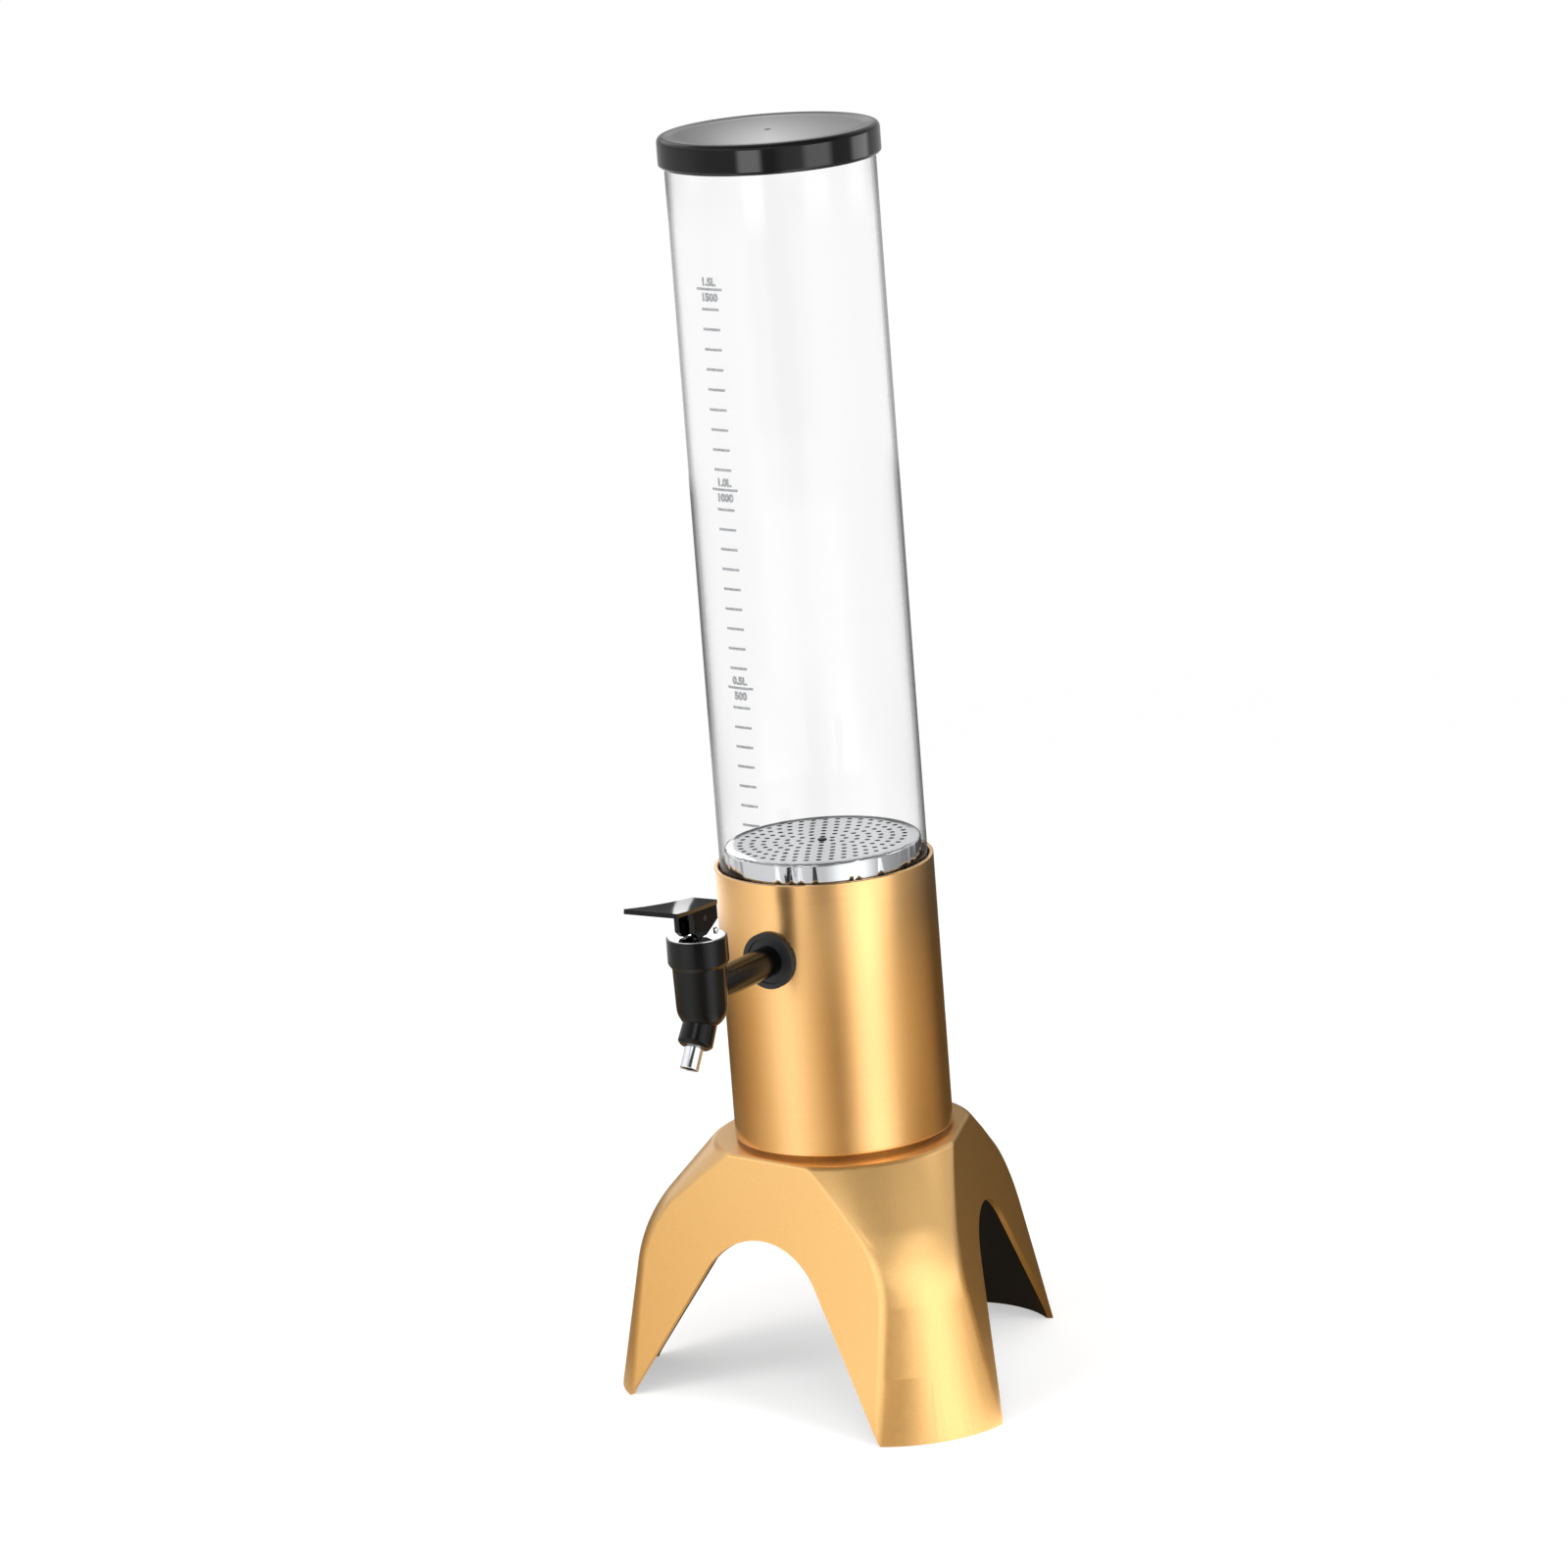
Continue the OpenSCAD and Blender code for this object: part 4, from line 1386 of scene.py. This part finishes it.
    def hang_card(self) -> None:
        """Hangs a narrow white card where the lever's paddle mirrors it as a stripe."""
        bpy.ops.mesh.primitive_plane_add(size=1)
        card = bpy.context.object
        card.name = "stripe_card"
        turned = math.radians(self.card_azimuth + self.camera_azimuth)
        way = Vector((math.sin(turned), -math.cos(turned), 0)) * self.radius * self.card_share
        card.location = AXIS + way + Vector((0, 0, self.card_height))
        card.rotation_euler = (math.pi / 2, 0, turned)
        card.scale = (*self.card_size, 1)
        settle(card)
        material, tree = new_material("card_light")
        glow = add_node(tree, "Emission", {"Strength": self.card_level})
        add_node(tree, "OutputMaterial", links={"Surface": glow.outputs[0]})
        card.data.materials.append(material)
        self.only_for_gloss(card)


@dataclass(frozen=True)
class Lamp:
    """A soft box that looks at the object's middle."""

    name: str
    azimuth: float
    height: float
    size: tuple[float, float]
    power: float
    distance: float = 1.9


@dataclass
class Studio:
    """Pale floor, white surroundings, soft boxes, and a tent for the reflections."""

    floor_size: float = 12.0
    floor_pale: float = 0.72
    floor_glow: float = 0.45
    floor_drop: float = 0.0002
    near: float = 0.5
    far: float = 1.6
    ambient: float = 0.55
    aim_height: float = 0.28
    camera_azimuth: float = 33.5
    camera_distance: float = 2.9155
    camera_height: float = 0.9649
    look_height: float = 0.35104
    roll_deg: float = -4.406
    lens: float = 159.68
    sensor: float = 36.0
    sight: float = 50.0
    shift: tuple[float, float] = (-0.0122, -0.1229)
    lamps: tuple[Lamp, ...] = (
        Lamp("left_box", -52, 1.15, (0.9, 1.5), 22),
        Lamp("right_box", 40, 1.15, (0.7, 1.5), 16),
        Lamp("top_box", 0, 2.1, (1.2, 1.2), 14),
    )

    def around(self, azimuth: float, distance: float, height: float) -> Vector:
        """A point round the tower; azimuth is in degrees to the right of the camera."""
        a = math.radians(self.camera_azimuth + azimuth)
        return AXIS + Vector((distance * math.sin(a), -distance * math.cos(a), height))

    def strength(self, tree: Tree, seen: float, unseen: float) -> Socket:
        """A strength for rays that see the background, and another for the rest.

        Args:
            tree: the node tree to add to.
            seen: the strength for camera, glossy and transmission rays.
            unseen: the strength for every other ray.

        Returns:
            The strength socket.
        """
        rays = add_node(tree, "LightPath").outputs
        most = {"operation": "MAXIMUM"}
        two = {0: rays["Is Camera Ray"], 1: rays["Is Glossy Ray"]}
        either = add_node(tree, "Math", most, two).outputs[0]
        three = {0: either, 1: rays["Is Transmission Ray"]}
        any_of = add_node(tree, "Math", most, three).outputs[0]
        settings = {"To Min": unseen, "To Max": seen}
        return add_node(tree, "MapRange", settings, {"Value": any_of}).outputs[0]

    def glow(self, tree: Tree, seen: float, unseen: float) -> Socket:
        """White light of those strengths, as a shader socket."""
        power = {"Strength": self.strength(tree, seen, unseen)}
        return add_node(tree, "Emission", {"Color": grey(1.0)}, power).outputs[0]

    def surroundings(self) -> None:
        """White all round, at a plain level for diffuse light."""
        world = bpy.data.worlds.new("studio_world")
        world.use_nodes = True
        tree = world.node_tree
        tree.nodes.clear()
        power = {"Strength": self.strength(tree, 1.0, self.ambient)}
        light = add_node(tree, "Background", {"Color": grey(1.0)}, power)
        add_node(tree, "OutputWorld", links={"Surface": light.outputs[0]})
        bpy.context.scene.world = world

    def floor(self) -> None:
        """A pale floor that keeps the object's shadow and fades into the white far off."""
        bpy.ops.mesh.primitive_plane_add(size=self.floor_size, location=(0, 0, -self.floor_drop))
        floor = bpy.context.object
        floor.name = "floor"
        settle(floor)
        material, tree = new_material("pale_floor")
        pale = add_node(tree, "BsdfDiffuse", {"Color": grey(self.floor_pale)})
        near = self.glow(tree, self.floor_glow, 0.0)
        close = add_node(tree, "AddShader", links={0: pale.outputs[0], 1: near})
        place = add_node(tree, "TexCoord").outputs["Object"]
        away = add_node(tree, "VectorMath", {"operation": "LENGTH"}, {0: place})
        fade = {"From Min": self.near, "From Max": self.far, "interpolation_type": "SMOOTHSTEP"}
        share = add_node(tree, "MapRange", fade, {"Value": away.outputs["Value"]})
        white = self.glow(tree, 1.0, self.ambient)
        links = {0: share.outputs[0], 1: close.outputs[0], 2: white}
        both = add_node(tree, "MixShader", links=links)
        add_node(tree, "OutputMaterial", links={"Surface": both.outputs[0]})
        floor.data.materials.append(material)

    def soft_box(self, lamp: Lamp) -> None:
        """Hangs one soft box.

        Args:
            lamp: its place, size and power.
        """
        light = bpy.data.lights.new(lamp.name, "AREA")
        light.shape = "RECTANGLE"
        light.size, light.size_y = lamp.size
        light.energy = lamp.power
        hung = hang(lamp.name, light)
        hung.location = self.around(lamp.azimuth, lamp.distance, lamp.height)
        aim = AXIS + Vector((0, 0, self.aim_height)) - hung.location
        hung.rotation_euler = aim.to_track_quat("-Z", "Y").to_euler()

    def camera(self) -> None:
        """The camera at the photograph's place, lens, roll and framing."""
        data = bpy.data.cameras.new("photo_camera")
        data.sensor_width = self.sensor
        data.lens = self.lens
        data.shift_x, data.shift_y = self.shift
        data.clip_end = self.sight
        camera = hang("photo_camera", data)
        camera.location = self.around(0, self.camera_distance, self.camera_height)
        target = AXIS + Vector((0, 0, self.look_height))
        look = (target - camera.location).to_track_quat("-Z", "Y")
        roll = Quaternion((0, 0, 1), math.radians(self.roll_deg))
        camera.rotation_mode = "QUATERNION"
        camera.rotation_quaternion = look @ roll
        bpy.context.scene.camera = camera

    def build(self) -> None:
        """Sets up the whole studio."""
        bpy.context.scene.view_settings.view_transform = "Standard"
        self.surroundings()
        self.floor()
        for lamp in self.lamps:
            self.soft_box(lamp)
        Tent(camera_azimuth=self.camera_azimuth).build()
        self.camera()


def dress_nodes(wardrobe: Wardrobe) -> None:
    """Gives every CAD node the finish of its slot.

    Args:
        wardrobe: where finishes come from.
    """
    slots = {s["node"]: s["material_slot"] for s in frame["record"]["subparts"]}
    for node, obj in frame["nodes"].items():
        wardrobe.dress(obj, slots[node])


def main() -> None:
    """Builds the scene sub-assembly by sub-assembly."""
    logging.basicConfig(level=logging.INFO, format="%(message)s")
    bpy.ops.object.select_all(action="DESELECT")
    wardrobe = Wardrobe()
    dress_nodes(wardrobe)
    makers = (BaseShell(), Cylinders(), Lid(), Strainer(), Tap(), Lever(), PrintedScale())
    for maker in makers:
        for piece in maker.build():
            piece.place(wardrobe)
    Studio().build()


if __name__ == "__main__":
    main()
